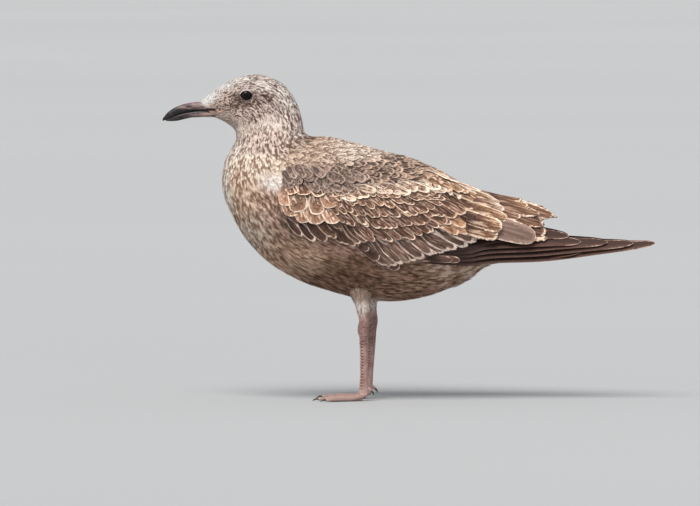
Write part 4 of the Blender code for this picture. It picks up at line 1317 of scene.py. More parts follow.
# %% A long feather
def shell(name, top, under, flipped):
    """A closed thin mesh from an upper and an under grid with the same rim."""
    rows, columns = top.shape[:2]
    points = np.vstack([top.reshape(-1, 3), under.reshape(-1, 3)])
    under_at = rows * columns
    faces = []
    for i in range(rows - 1):
        for k in range(columns - 1):
            a, b = i * columns + k, (i + 1) * columns + k
            faces.append((a, b, b + 1, a + 1))
            faces.append((under_at + a, under_at + a + 1, under_at + b + 1, under_at + b))
    rim = ([i * columns for i in range(rows)] + [(rows - 1) * columns + k for k in range(1, columns)]
           + [i * columns + columns - 1 for i in range(rows - 2, -1, -1)]
           + [k for k in range(columns - 2, 0, -1)])
    for a, b in zip(rim, rim[1:] + rim[:1]):
        faces.append((a, under_at + a, under_at + b, b))
    if flipped:
        faces = [face[::-1] for face in faces]
    return mesh_object(name, points, faces, firm_finish)


def long_feather(name, side, shaft, width, across, shades, pattern, point, camber, seed, layer=0.0,
                 thickness=0.7, shaft_at=-0.15, fray=0.0, rows=40, columns=23, rim_from=0.0,
                 root_across=None, slot="flight_feathers"):
    """One long feather; y is outwards, sizes in millimetres, shades from root to tip."""
    random = np.random.default_rng(seed)
    u = np.sin(np.linspace(-1, 1, columns) * math.pi / 2)
    ends = 1 - ragged_ends(random, columns, fray) - 0.012 * u ** 2
    q = (1 - (1 - np.linspace(0, 1, rows)) ** 1.7)[:, None]
    t = q * ends[None, :]
    centre = smooth_through(shaft, t)
    ahead, behind = np.minimum(1, t + 0.02), np.maximum(0, t - 0.02)
    along = unit(smooth_through(shaft, ahead) - smooth_through(shaft, behind))
    across = np.array(across, float) + 0 * along
    if root_across:  # the blade twists from its root to its middle
        turned = step_up(0.0, 0.5, t)[..., None]
        across = np.array(root_across, float) * (1 - turned) + across * turned
    sideways = unit(across - along * (along * across).sum(axis=-1, keepdims=True))
    out = np.cross(along, sideways)
    flat = np.abs(out[..., 1]) < 1e-6
    faces_out = (out[..., 1] > 0) | (flat & (out[..., 2] > 0))
    out = out * np.where(faces_out, 1, -1)[..., None]
    outline = (0.55 + 0.45 * np.minimum(1, q / 0.3)) * np.sqrt(np.maximum(0.0, 1 - (q * 0.992) ** point))
    half = np.maximum(0.25, 0.5 * width * outline)
    offset = u[None, :]
    splits = 1 + fray * 0.8 * random.uniform(-1, 1, (rows, columns)) * (q > 0.6) * (np.abs(offset) > 0.9)
    vault = layer + camber * (1 - (offset * half * 2 / width) ** 2)
    ridge = 0.35 * np.exp(-((offset - shaft_at) / 0.07) ** 2) * (1 - 0.6 * q)
    thick = thickness * (0.25 + 0.75 * (1 - offset ** 2))
    body = centre + sideways * (offset * half * splits)[..., None]
    top = body + out * (vault + ridge + thick / 2)[..., None]
    under = body + out * (vault - thick / 2)[..., None]
    flip = np.array([1, side, 1]) * MM
    straight = np.dot(np.cross(along[2, 2], sideways[2, 2]), out[2, 2]) > 0
    feather = shell(name, top * flip, under * flip, straight != (side > 0))
    beside = (1 - np.abs(offset)) * half
    beyond = (ends[None, :] - t) * np.linalg.norm(np.subtract(shaft[-1], shaft[0]))
    rim = 1 - np.minimum(1, np.minimum(beside, beyond) / (width / 2))
    vane = np.stack([t, offset - shaft_at + 0 * t, rim], -1).reshape(-1, 3)
    data = feather.data
    write_attribute(data, "vane", np.vstack([vane, vane]))
    blend = step_up(0.35, 0.85, t).reshape(-1, 1)
    rim_strength = 0.06 + 0.89 * step_up(rim_from - 0.02, rim_from + 0.06, t).ravel()
    for part, (key, strength) in enumerate((("ground", 1.0), ("mark", 0.85), ("edge", rim_strength))):
        first, last = (np.array(SHADES[shade][part]) for shade in shades)
        colour = first * (1 - blend) + last * blend
        strengths = np.tile(strength + np.zeros(len(vane)), 2)
        write_attribute(data, key, with_alpha(np.vstack([colour, colour * 0.8]), strengths))
    write_attribute(data, "pattern", np.tile(pattern, (2 * len(vane), 1)))
    spots = np.column_stack([t.ravel() * 0.96 + 0.02, (offset + 0 * t).ravel() * 0.22 + 0.25])
    spots = np.vstack([spots, spots + (0, 0.5)])
    unwrap = data.uv_layers.new(name="OFBake")
    loops = np.empty(len(data.loops), np.int32)
    data.loops.foreach_get("vertex_index", loops)
    unwrap.data.foreach_set("uv", spots[loops].astype(np.float32).ravel())
    return hand_over(feather, slot)


# %% [markdown]
# The folded wing's tip is a stack of primaries. The longest, the tenth, lies lowest and innermost,
# and each shorter one lies a little higher and further out, so their lower edges show as fine
# parallel lines and their pale tips follow one another along the upper side. Their shafts hug the
# flank from under the coverts and turn in behind it, and the sixth closes the stack above. Two
# small coverts lie below their roots. The right wing is folded a little higher than the left, so
# that its upper edge shows beyond it as a dark line.

# %% The primaries
PRIMARIES = {  # shaft from root to tip, y outwards; width; how far out of the stack
    "10": (((25, 50.5, 165.0), (57, 39.0, 166.0), (89, 29.5, 167.0), (154, 19.5, 168.0), (218, 13.0, 174.2),
            (283, 6.0, 179.4)), 23.0, 0.0),
    "9": (((28, 50.7, 169.5), (58, 39.5, 170.5), (88, 30.0, 171.5), (145, 21.0, 172.8), (201, 15.0, 176.4),
           (258, 9.6, 178.7)), 22.5, 1.3),
    "8": (((31, 50.2, 174.0), (58, 39.8, 175.0), (85, 30.2, 176.0), (133, 23.0, 177.0), (180, 17.3, 179.0),
           (228, 13.0, 179.0)), 22.5, 2.6),
    "7": (((34, 49.6, 178.0), (58, 40.2, 179.0), (82, 30.5, 180.0), (120, 25.0, 181.0), (158, 20.0, 181.0),
           (197, 16.5, 178.5)), 22.5, 3.9),
    "6": (((37, 48.0, 182.0), (58, 39.0, 183.0), (80, 30.0, 185.0), (112, 23.5, 189.0), (146, 18.5, 190.0),
           (183, 14.5, 186.0)), 22.0, 2.6),
}
UNDER_COVERTS = (((20, 52.5, 166.5), (35, 48.8, 165.0), (49, 43.8, 163.4)),
                 ((29, 50.5, 166.0), (44, 45.6, 164.5), (58, 40.6, 163.0)))
FOLDED_HIGHER = {"left": 0.0, "right": 4.5}  # millimetres, at the roots


def make_primaries():
    for name, side in SIDES.items():
        for number, (shaft, width, layer) in PRIMARIES.items():
            rises = np.linspace(FOLDED_HIGHER[name], 0, len(shaft))
            shaft = [(x, y, z + rise) for (x, y, z), rise in zip(shaft, rises)]
            piece = long_feather(f"primary_{name}_{number}", side, shaft, width, (0.03, 0.72, -0.69),
                                 ("black", "black"), (0.75, 0.0, 0.07), point=5.0, layer=layer,
                                 camber=1.9, shaft_at=0.2, seed=int(number), rim_from=0.88,
                                 root_across=(0, -0.4, -0.92))
            if f"wing_{name}_primary_{number}" in frame["nodes"]:  # the sixth has no solid
                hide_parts(f"wing_{name}_primary_{number}")
        for number, shaft in enumerate(UNDER_COVERTS):
            long_feather(f"under_covert_{name}_{number + 1}", side, shaft, 9.5, (0, -0.35, -0.94),
                         ("hollow", "dark"), (0.6, 0.0, 0.16), point=5.0, layer=1.2, camber=1.0,
                         thickness=0.5, seed=30 + number, rows=24, columns=15, rim_from=0.7,
                         slot="wing_feathers")


make_primaries()
print("primaries", len(PRIMARIES) * 2)

# %% [markdown]
# Over the primaries' roots lie the tertials, broad soft feathers with frayed pale tips, and over
# those the longest shoulder feathers. The lowest tertial is smooth and greyer than the others.

# %% The tertials and long shoulder feathers
TERTIALS = {  # shaft, width, across, shades, pattern, fray, layer
    "1": (((66, 8.0, 233), (120, 9.5, 223.5), (173, 8.0, 208.0)), 24, (0.06, 0.66, -0.75),
          ("brown", "rust"), (0.60, 0.1, 0.26), 0.20, 0.0),
    "2": (((60, 24.0, 219), (112, 26.5, 206), (161, 22.5, 189)), 27, (0.08, 0.50, -0.86),
          ("brown", "sandy"), (0.66, 0.1, 0.20), 0.12, 0.0),
    "3": (((56, 33.5, 207), (100, 36.0, 200), (145, 31.0, 187)), 28, (0.10, 0.24, -0.96),
          ("grey", "grey"), (0.60, 0.0, 0.07), 0.0, 1.0),
}
SHOULDER_PLUMES = {
    "1": (((64, 16, 230), (110, 19, 222), (152, 15.5, 211)), 19, (0.06, 0.70, -0.70),
          ("sandy", "rust"), (0.66, 0.2, 0.22), 0.14, 1.5),
    "2": (((62, 10, 238), (104, 13, 228), (140, 11.5, 219)), 19, (0.06, 0.80, -0.60),
          ("brown", "golden"), (0.66, 0.2, 0.24), 0.14, 1.8),
    "3": (((48, 9, 245), (80, 12, 235), (107, 11.5, 226)), 19, (0.06, 0.78, -0.62),
          ("sandy", "straw"), (0.6, 0.3, 0.30), 0.14, 1.8),
    "4": (((26, 9, 256), (56, 12, 245), (83, 10.5, 235)), 18, (0.06, 0.78, -0.62),
          ("golden", "straw"), (0.55, 0.3, 0.34), 0.14, 1.6),
    "5": (((66, 30, 216), (96, 31, 208), (124, 28, 200)), 20, (0.10, 0.40, -0.90),
          ("sandy", "golden"), (0.66, 0.3, 0.20), 0.12, 3.2),
    "6": (((64, 22, 226), (98, 25, 217), (128, 22.5, 208)), 20, (0.08, 0.55, -0.83),
          ("brown", "rust"), (0.66, 0.3, 0.20), 0.12, 2.6),
    "7": (((64, 20, 226), (112, 23, 216), (157, 18.5, 202)), 25, (0.07, 0.60, -0.80),
          ("brown", "sandy"), (0.64, 0.1, 0.20), 0.14, 0.6),
    "8": (((60, 4.5, 243), (100, 6.5, 232.5), (132, 5.5, 227)), 17, (0.05, 0.92, -0.38),
          ("sandy", "rust"), (0.66, 0.2, 0.26), 0.14, 1.2),
    "9": (((58, 27, 224), (88, 29.5, 215), (112, 28.0, 206)), 17, (0.10, 0.46, -0.88),
          ("golden", "golden"), (0.66, 0.5, 0.20), 0.12, 4.4),
    "10": (((54, 19, 233), (84, 23, 225), (110, 22.0, 215)), 17, (0.08, 0.58, -0.81),
           ("rust", "straw"), (0.66, 0.5, 0.22), 0.12, 3.8),
    "11": (((50, 14, 241), (80, 18, 232), (104, 17.0, 222)), 17, (0.07, 0.66, -0.74),
           ("golden", "straw"), (0.66, 0.4, 0.28), 0.14, 3.4),
    "12": (((54, 40, 215), (80, 40.5, 207), (108, 38.5, 199)), 19, (0.10, 0.30, -0.95),
           ("brown", "golden"), (0.66, 0.5, 0.20), 0.14, 2.4),
    "13": (((52, 43, 205), (78, 42.5, 197.5), (104, 40.0, 190.5)), 19, (0.10, 0.26, -0.96),
           ("sandy", "golden"), (0.66, 0.5, 0.22), 0.16, 1.4),
}


def make_tertials():
    for name, side in SIDES.items():
        for group, feathers in (("tertial", TERTIALS), ("plume", SHOULDER_PLUMES)):
            for number, (shaft, width, across, shades, pattern, fray, layer) in feathers.items():
                piece = long_feather(f"{group}_{name}_{number}", side, shaft, width, across, shades,
                                     pattern, point=6.0 + 26.0 * fray, layer=layer, camber=2.6, fray=fray,
                                     seed=40 + int(number), slot="wing_feathers")
                if group == "tertial":
                    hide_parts(f"wing_{name}_tertial_{number}")


make_tertials()
print("tertials and plumes", 2 * (len(TERTIALS) + len(SHOULDER_PLUMES)))

# %% [markdown]
# The tail is closed under the wings, six feathers a side in a flat fan. The middle pair lies on
# top, and each pair further out lies lower and droops a little more. From above, four rows of
# broad soft coverts run from the rump over the tail's root and fill the notch between the wings.

# %% The tail
TAIL_PAIRS = 6
UPPER_COVERTS = (((78, 186), (160, 178)), ((72, 204), (138, 186)), ((66, 216), (118, 196)),
                 ((60, 226), (106, 207)))  # root and tip in the side view, row by row


def make_tail():
    for name, side in SIDES.items():
        for i in range(TAIL_PAIRS):
            shaft = ((86, 1.5 + 1.6 * i, 171.0 - 1.2 * i), (150, 3 + 2.5 * i, 170.5 - 0.7 * i),
                     (209 - 0.5 * i * i, 4 + 3.0 * i, 172.5 - 0.4 * i))
            piece = long_feather(f"tail_{name}_{i + 1}", side, shaft, 19, (0, 1.0, -0.10 - 0.07 * i),
                                 ("dark", "black"), (0.7, 0.0, 0.07), point=6.0, camber=0.8,
                                 thickness=0.5, shaft_at=0.15, seed=70 + i, rim_from=0.9)
            if (name, i) == ("left", 0):
                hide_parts("tail")


def make_upper_coverts():
    """Rows of broad soft feathers from the rump over the tail's root."""
    for row, ((root_x, root_z), (tip_x, tip_z)) in enumerate(UPPER_COVERTS):
        for i in range(-2, 3):
            y = 6.5 * i * (1 - 0.12 * row)
            shaft = ((root_x - 8, y * 0.6, root_z + 4),
                     ((root_x + tip_x) / 2, y * 0.9, (root_z + tip_z) / 2 + 3),
                     (tip_x - 2.2 * i * i, y * 1.1, tip_z - 1.1 * i * i))
            long_feather(f"tail_covert_{row + 1}_{i + 3}", 1, shaft, 17, (0, 1.0, -0.06 * i),
                         ("brown", "sandy"), (0.66, 0.5, 0.16), point=4.0, camber=1.6, fray=0.05,
                         layer=0.5 - 0.2 * abs(i), thickness=0.4, shaft_at=0.0, seed=90 + 5 * row + i,
                         slot="body_feathers")


make_tail()
make_upper_coverts()
print("tail feathers", 2 * TAIL_PAIRS, "and rows of coverts", len(UPPER_COVERTS))

# %% [markdown]
# The bill is horn in two halves that meet along the mouth line. The upper one arches over into a
# hook, and a slit of a nostril opens on each side. The lower one thickens below into an angle.
# Each half is a loft of rounded upright sections, as in the CAD solids but much finer. Towards its
# base each half has flat sides beside the mouth line, and it grows wide enough to meet the face.
# The nostril is pressed into the upper half's side.

# %% The bill
MOUTH_LINE = ((-208, 334.0), (-224, 333.4), (-242, 333.0), (-258, 330.6), (-268, 327.4),
              (-276, 323.6), (-284, 320.8))
CULMEN = ((-208, 336.0), (-226, 339.6), (-235, 341.8), (-241, 342.9), (-250, 342.2), (-259.5, 340.1),
          (-268.5, 336.6), (-275.4, 332.2), (-280.5, 326.9), (-283.0, 322.4))
BILL_FLOOR = ((-208, 325.6), (-224, 325.2), (-236, 325.4), (-250, 324.8), (-259.3, 322.6),
              (-266, 320.9), (-273, 320.6), (-279.5, 321.0))
UPPER_HALF_WIDTH = ((-208, 12.5), (-219, 11.2), (-225, 9.9), (-230.5, 8.3), (-238, 6.6), (-250, 5.4),
                    (-268, 4.3), (-278, 3.0), (-282.7, 0.7))
LOWER_HALF_WIDTH = ((-208, 9.5), (-219, 8.8), (-225, 7.4), (-230.5, 6.3), (-238, 5.3), (-250, 4.2),
                    (-266, 3.3), (-279.0, 1.2))
NOSTRIL = (-252.0, 337.0, 4.3, 0.85)  # middle x and z, half length and half height


def read_line(line, x, soften=2.2):
    """The line's height at x, its corners rounded off by averaging nearby."""
    xs, zs = zip(*sorted(line))
    return sum(np.interp(x + d * soften, xs, zs) for d in (-1, -0.5, 0, 0.5, 1)) / 5


BILL_RINGS, BILL_TURNS, BILL_ROOT = 84, 40, -208.5
MOUTH_GAPS = (-0.45, 0.25)  # the horn's edges below and above the mouth line overlap a little


def bill_half(name, mouth, high, low, half_width, tip_x, finish):
    """Rounded upright sections from root to tip; mouth is -1 or 1, the side of the mouth line."""
    rings, around = BILL_RINGS, BILL_TURNS
    t = 1 - (1 - np.linspace(0, 1, rings)) ** 1.7
    x = (BILL_ROOT + (tip_x - BILL_ROOT) * t)[:, None]
    angle = 2 * math.pi * (np.arange(around) + 0.5)[None, :] / around
    top, bottom, half = read_line(high, x), read_line(low, x), read_line(half_width, x)
    middle, rise = (top + bottom) / 2, np.maximum(0.3, (top - bottom) / 2)
    power = 0.85 - 0.45 * step_up(-250, -232, x) * (np.sin(angle) * mouth > 0)  # flat sides by the mouth
    y = half * np.sign(np.cos(angle)) * np.abs(np.cos(angle)) ** power
    z = middle + rise * np.sign(np.sin(angle)) * np.abs(np.sin(angle)) ** power
    mid_x, mid_z, long, tall = NOSTRIL
    slit = np.hypot((x - mid_x) / long, (z - mid_z - 0.04 * (x - mid_x)) / tall)
    groove = np.hypot((x - mid_x + 1) / (long * 2.0), (z - mid_z) / (tall * 2.4))
    y = y - np.sign(y) * (1.5 * step_up(1.15, 0.6, slit) + 0.35 * step_up(1.2, 0.2, groove))
    points = np.stack([x + 0 * y, y, z + 0 * y], -1).reshape(-1, 3)
    ends = [points[:around].mean(axis=0), points[-around:].mean(axis=0)]
    faces = loft_faces(rings, around) + end_fans(rings, around)
    piece = outward(mesh_object(name, np.vstack([points, ends]) * MM, faces, finish))
    return hand_over(piece, "bill_horn", name.removesuffix("_horn"))


def make_horn():
    """Blackish horn, worn and streaked with dull pink towards the base."""
    finish, tree, shader = new_material("bill horn", 0.46, 0.36)
    x, _, z = parts(object_place(tree))
    streaks = grain(tree, 200.0, 4.0, (0.35, 1, 1.6), 0.6)
    ridge = times(soft_step(0.3338, 0.3372, z), soft_step(-0.273, -0.256, x))
    floor_part = times(soft_step(0.3318, 0.3300, z), soft_step(-0.257, -0.243, x))
    pink = times(calc("MAXIMUM", ridge, floor_part), soft_step(0.25, 0.62, streaks))
    root = soft_step(-0.246, -0.216, x)
    flesh = mix_colour(root, (0.24, 0.160, 0.155, 1), (0.53, 0.35, 0.30, 1))
    colour = mix_colour(pink, (0.013, 0.011, 0.012, 1), flesh)
    shine = soft_step(0.50, 0.72, grain(tree, 420.0, 3.0, (0.5, 1, 1)))
    colour = mix_colour(times(shine, 0.16), colour, (0.30, 0.24, 0.23, 1))
    # the slit of the nostril is painted dark, painted shade inside the opening
    hole = oval(x, z, (NOSTRIL[0] * MM, NOSTRIL[1] * MM), (NOSTRIL[2] * MM, NOSTRIL[3] * MM))
    paint(shader, mix_colour(soft_step(1.1, 0.6, hole), colour, (0.03, 0.02, 0.02, 1)))
    bump(shader, grain(tree, 900.0, 4.0, (0.3, 1, 1)), 0.35, 0.0003)
    return finish


horn = make_horn()
upper_mouth, lower_mouth = (tuple((x, z + gap) for x, z in MOUTH_LINE) for gap in MOUTH_GAPS)
upper_bill = bill_half("bill_upper_horn", -1, CULMEN, upper_mouth, UPPER_HALF_WIDTH, -282.6, horn)
lower_bill = bill_half("bill_lower_horn", 1, lower_mouth, BILL_FLOOR, LOWER_HALF_WIDTH, -279.0, horn)
print("bill points", len(upper_bill.data.vertices) + len(lower_bill.data.vertices))

# %% [markdown]
# The eye of a young gull is nearly black, with only a breath of brown in the iris. It is wet, so
# it is glossy, and its clear cornea bulges a little from the ball. The lids are soft bare skin:
# a rounded margin that hugs the ball and runs back, with down on it, under the smallest feathers.
# The upper lid is pale, and the lower one is greyer and a little pink. At the corner of the mouth
# a thin soft lip of bare skin, the gape, runs back from the horn under the cheek.

# %% The eyes
EYE_X, EYE_Z = float(EYE[0]), float(EYE[2])
BALL_STEPS, BALL_TURNS, CORNEA = 40, 64, 0.35 * MM


def make_eye_finish():
    finish, tree, shader = new_material("wet dark eye", 0.05, 0.12)
    x, _, z = parts(object_place(tree))
    across, up = minus(x, EYE_X), minus(z, EYE_Z)
    radius = calc("SQRT", plus(times(across, across), times(up, up)))
    iris = times(soft_step(0.0026, 0.0030, radius), minus(1.0, soft_step(0.0048, 0.0054, radius)))
    rays = times(iris, grain(tree, 900.0, 3.0))
    paint(shader, mix_colour(rays, (0.004, 0.0035, 0.0035, 1), (0.020, 0.013, 0.009, 1)))
    return finish


def make_eye(name, side, finish):
    mesh = bmesh.new()
    bmesh.ops.create_uvsphere(mesh, u_segments=BALL_TURNS, v_segments=BALL_STEPS, radius=EYE_RADIUS)
    for vertex in mesh.verts:
        out = vertex.co.y / EYE_RADIUS * side
        vertex.co += Vector((0, side * CORNEA * float(step_up(0.80, 0.97, out)), 0))
        vertex.co += Vector((EYE[0], side * EYE[1], EYE[2]))
    data = bpy.data.meshes.new(name)
    mesh.to_mesh(data)
    mesh.free()
    data.materials.append(finish)
    data.shade_smooth()
    eye = bpy.data.objects.new(name, data)
    bpy.context.scene.collection.objects.link(eye)
    return eye


print("eye radius", round(EYE_RADIUS * 1000, 1), "mm")

# %% [markdown]
# The lids are drawn as a closed ring with one profile all round: a bare margin on the ball, a low
# swell, and a thin edge that dives under the skin of the face.

# %% The lids
def make_lid_finish():
    finish, tree, shader = new_material("bare skin of the lids", 0.55, 0.4)
    x, _, z = parts(object_place(tree))
    upper = soft_step(EYE_Z - 0.001, EYE_Z + 0.002, z)
    folds = grain(tree, 1500.0, 3.0)
    colour = mix_colour(upper, (0.44, 0.34, 0.33, 1), (0.62, 0.54, 0.52, 1))
    colour = mix_colour(times(folds, 0.35), colour, (0.20, 0.15, 0.14, 1))
    away = oval(x, z, (EYE_X, EYE_Z), (float(EYE_OPENING[0]), float(EYE_OPENING[1])))
    margin = minus(1.0, soft_step(1.0, 1.04, away))
    colour = mix_colour(margin, colour, (0.035, 0.027, 0.026, 1))
    # past the bare rim the lid is downy, in the face's own brown
    downy = mix_colour(folds, (0.13, 0.092, 0.074, 1), (0.50, 0.40, 0.34, 1))
    paint(shader, mix_colour(soft_step(1.16, 1.26, away), colour, downy))
    bump(shader, folds, 0.4, 0.0002)
    return finish


LID_PROFILE = ((0.96, -0.5), (0.985, 0.0), (1.01, 0.24), (1.05, 0.34), (1.11, 0.26), (1.20, 0.16),
               (1.34, 0.0), (1.50, -0.6), (1.68, -1.8))  # times the opening, and height over the ball in mm


LID_STEPS = 72


def make_lids(name, side, finish):
    """A closed soft ring round the eye's window; the window is pointed a little at both ends."""
    points, faces = [], []
    for j in range(LID_STEPS):
        angle = 2 * math.pi * j / LID_STEPS
        corner = 1 + 0.10 * abs(math.cos(angle)) ** 6
        for reach, height in LID_PROFILE:
            x = EYE[0] + EYE_OPENING[0] * reach * corner * math.cos(angle)
            z = EYE[2] + EYE_OPENING[1] * reach * math.sin(angle)
            heavy = 0.25 * max(0.0, math.sin(angle)) if 1.0 < reach < 1.3 else 0.0
            y = float(ball_surface(x, z)) + (height + heavy) * MM
            points.append((x, side * y, z))
    count = len(LID_PROFILE)
    for j in range(LID_STEPS):
        after = (j + 1) % LID_STEPS
        for k in range(count - 1):
            face = (j * count + k, after * count + k, after * count + k + 1, j * count + k + 1)
            faces.append(face if side > 0 else face[::-1])
    return mesh_object(name, points, faces, finish)


def make_face_skin():
    eye_finish, lid_finish = make_eye_finish(), make_lid_finish()
    for name, side in SIDES.items():
        hand_over(make_eye(f"eyeball_{name}", side, eye_finish), "eye", f"eye_{name}")
        hand_over(make_lids(f"eyelids_{name}", side, lid_finish), "leg_skin")


make_face_skin()
print("eye window", tuple(round(v * 2000, 1) for v in EYE_OPENING), "mm")

# %% [markdown]
# The gape is a thin tube pressed flat against the face, higher than it is deep. It starts under
# the horn's rear end and fades out below the cheek.

# %% The gape
def make_lip_finish():
    finish, tree, shader = new_material("bare lip", 0.5, 0.4)
    tone = mix_colour(grain(tree, 500.0, 3.0), (0.54, 0.33, 0.25, 1), (0.74, 0.51, 0.41, 1))
    x = parts(object_place(tree))[0]
    paint(shader, mix_colour(soft_step(-0.217, -0.208, x), tone, (0.20, 0.13, 0.11, 1)))
    return finish


GAPE_HEIGHT, GAPE_THICKNESS = (3.4, 0.35), (0.50, 0.22)  # millimetres, at its front and rear end


GAPE_STEPS, GAPE_TURNS = 60, 12


def make_gape(name, side, finish):
    """The soft fold at the mouth's corner: a thin lip laid on the skin."""
    points = []
    for i in range(GAPE_STEPS):
        t = i / (GAPE_STEPS - 1)
        x = GAPE[0][0] + (GAPE[-1][0] - GAPE[0][0]) * t
        spot, normal, _ = on_flank(x, read_line(GAPE, x, 0.8), side)
        fade = math.sqrt(max(0.02, 1 - (1 - min(1.0, 5 * t)) ** 2)) * math.sqrt(max(0.02, 1 - t ** 6))
        high, deep = (a + (b - a) * t ** 0.6 for a, b in (GAPE_HEIGHT, GAPE_THICKNESS))
        for k in range(GAPE_TURNS):
            angle = 2 * math.pi * k / GAPE_TURNS
            lift = normal * (deep * math.cos(angle) * fade + 0.25) * MM
            points.append(np.array(spot) + lift + np.array((0, 0, high / 2 * math.sin(angle) * fade * MM)))
    faces = loft_faces(GAPE_STEPS, GAPE_TURNS) + end_rings(GAPE_STEPS, GAPE_TURNS)
    return outward(mesh_object(f"gape_{name}", points, faces, finish))


lip_finish = make_lip_finish()
for gape_name, gape_side in SIDES.items():
    hand_over(make_gape(gape_name, gape_side, lip_finish), "leg_skin")
print("gape from", GAPE[0][0], "to", GAPE[-1][0], "mm")

# %% [markdown]
# The legs are bare scaly skin over bone. The shank, the toes, the webs and the hind toe are drawn
# as closed lofts, then joined and remeshed in small voxels into one skin, and smoothed. Then the
# scutes are raised: a row of broad shields down the front of the shank and along each toe, and
# small knobs over the ankle. The claws are slender curved horns of their own.

# %% The legs
LEGS = {  # top inside the belly, ankle, foot; y outwards, in millimetres
    "left": ((-54.5, 23.5, 146), (-51.5, 25.5, 80), (-51.0, 24.0, 8)),
    "right": ((-46.5, 23.5, 146), (-41.5, 25.5, 84), (-46.5, 24.0, 8)),
}
SHANK = {  # share of the way from top to foot: half depth, half width, shift forwards
    0.00: (5.6, 5.2, 0.0), 0.20: (5.6, 5.0, 0.0), 0.34: (5.2, 4.6, -0.2), 0.42: (5.6, 4.8, -0.5),
    0.465: (6.6, 5.2, 0.2), 0.50: (6.3, 5.0, 0.9), 0.545: (4.8, 4.0, 0.2), 0.65: (4.2, 3.2, 0.0),
    0.80: (4.1, 3.1, 0.0), 0.92: (4.9, 3.8, 0.2), 1.00: (6.2, 5.0, 0.9),
}
TOES = {"inner": (21.0, 41.0), "middle": (-3.0, 53.0), "outer": (-25.0, 49.0)}  # turn inwards, length
TOE_PITCH, CLAW_REACH = 2.6, 6.5
TOE_RISE = ((-0.04, 7.5), (0.08, 5.4), (0.3, 3.1), (0.65, 2.7), (1.0, 2.2))  # share of the toe, height
TOE_SIZES = ((0.0, 3.4, 2.6), (0.15, 2.9, 2.6), (0.35, 2.5, 2.5), (0.6, 2.4, 2.4), (0.85, 2.1, 2.2),
             (1.0, 1.4, 1.5))  # share, half height, half width
TOE_JOINT = 14  # from one swelling of a toe to the next
CLAW_RISE = ((-0.18, 2.3), (0.30, 2.6), (0.72, 1.7), (1.0, 0.45))  # share of the claw, height
CLAW_SIZES = {0: (1.45, 1.15, 0), 0.4: (1.15, 0.95, 0), 0.8: (0.6, 0.5, 0), 1: (0.12, 0.12, 0)}
HIND_TOE = ((2.0, 0.0, 16.0), (6.0, -0.4, 13.4), (8.6, -0.6, 11.2))  # from the foot's place
HIND_SIZES = {0: (2.2, 2.0, 0), 0.6: (1.9, 1.7, 0), 1: (1.3, 1.2, 0)}
HIND_CLAW = ((8.0, -0.6, 11.6), (10.2, -0.7, 9.4), (10.9, -0.7, 6.6))
WEB_ROWS, WEB_COLUMNS = 24, 12
SCUTE_STEP, TOE_SCUTE_STEP, PEBBLE = 3.4, 2.3, 1.25  # from one shield or knob to the next
VOXEL = 0.45 * MM
LEG_SOLIDS = ("tibia", "tarsus", "foot", "hind_toe")


def limb(path, sizes, side, rings, around=28):
    """A closed loft along a path; sizes give half depth, half width and a shift forwards."""
    t = np.linspace(0, 1, rings)
    centre = smooth_through(path, t)
    along = unit(np.gradient(centre, axis=0))
    places, values = zip(*sorted(sizes.items()))
    depth, width, shift = (np.interp(t, places, column) for column in zip(*values))
    depth, width, shift = (np.convolve(np.pad(v, 2, "edge"), np.ones(5) / 5, "valid")
                           for v in (depth, width, shift))
    sideways = unit(np.cross(along, [[1.0, 0.0, 0.3]]))
    forwards = unit(np.cross(sideways, along))
    forwards *= np.where(forwards[:, :1] > 0, -1, 1)
    angle = 2 * math.pi * np.arange(around) / around
    points = ((centre + forwards * shift[:, None])[:, None]
              + forwards[:, None] * (np.cos(angle)[None, :] * depth[:, None])[..., None]
              + sideways[:, None] * (np.sin(angle)[None, :] * width[:, None])[..., None])
    points = points.reshape(-1, 3) * (1, side, 1)
    return points, loft_faces(rings, around) + end_rings(rings, around)


print("shank sections", len(SHANK))

# %% [markdown]
# Three toes start side by side under the shank and fan out over the ground, with a web between
# each two. The shank, the toes, the webs and the hind toe are put into one rough mesh.

# %% The toes, the webs and the whole leg
def toe_line(foot, toe, order):
    """The toe's middle line on the ground, its way and its length."""
    turn, length = TOES[toe]
    way = np.array([-math.cos(math.radians(turn)), -math.sin(math.radians(turn)), 0.0])
    start = np.array([foot[0], foot[1] - (1 - order) * TOE_PITCH, 0.0])
    return start, way, length


def web_sheet(foot, first, second, order, side):
    """The thin skin between two toes, hollow along its front edge."""
    (a, way_a, long_a), (b, way_b, long_b) = toe_line(foot, first, order), toe_line(foot, second, order + 1)
    s, t = np.meshgrid(np.linspace(0.05, 0.93, WEB_ROWS), np.linspace(0, 1, WEB_COLUMNS), indexing="ij")
    reach = s * (1 - 0.17 * s ** 2 * np.sin(math.pi * t))
    near = a + way_a * (reach * long_a)[..., None]
    far = b + way_b * (reach * long_b)[..., None]
    sheet = near * (1 - t)[..., None] + far * t[..., None]
    top, under = sheet.copy(), sheet.copy()
    top[..., 2] = 1.9 + 1.6 * (1 - s) ** 3 + 0.25 * np.sin(9 * s)
    under[..., 2] = 0.45
    return shell("web", top * (1, side, 1) * MM, under * (1, side, 1) * MM, side < 0)


def from_foot(foot, line):
    """A line given from the foot's place, as a path in the bird's frame."""
    return [np.add((foot[0], foot[1], 0), p) for p in line]


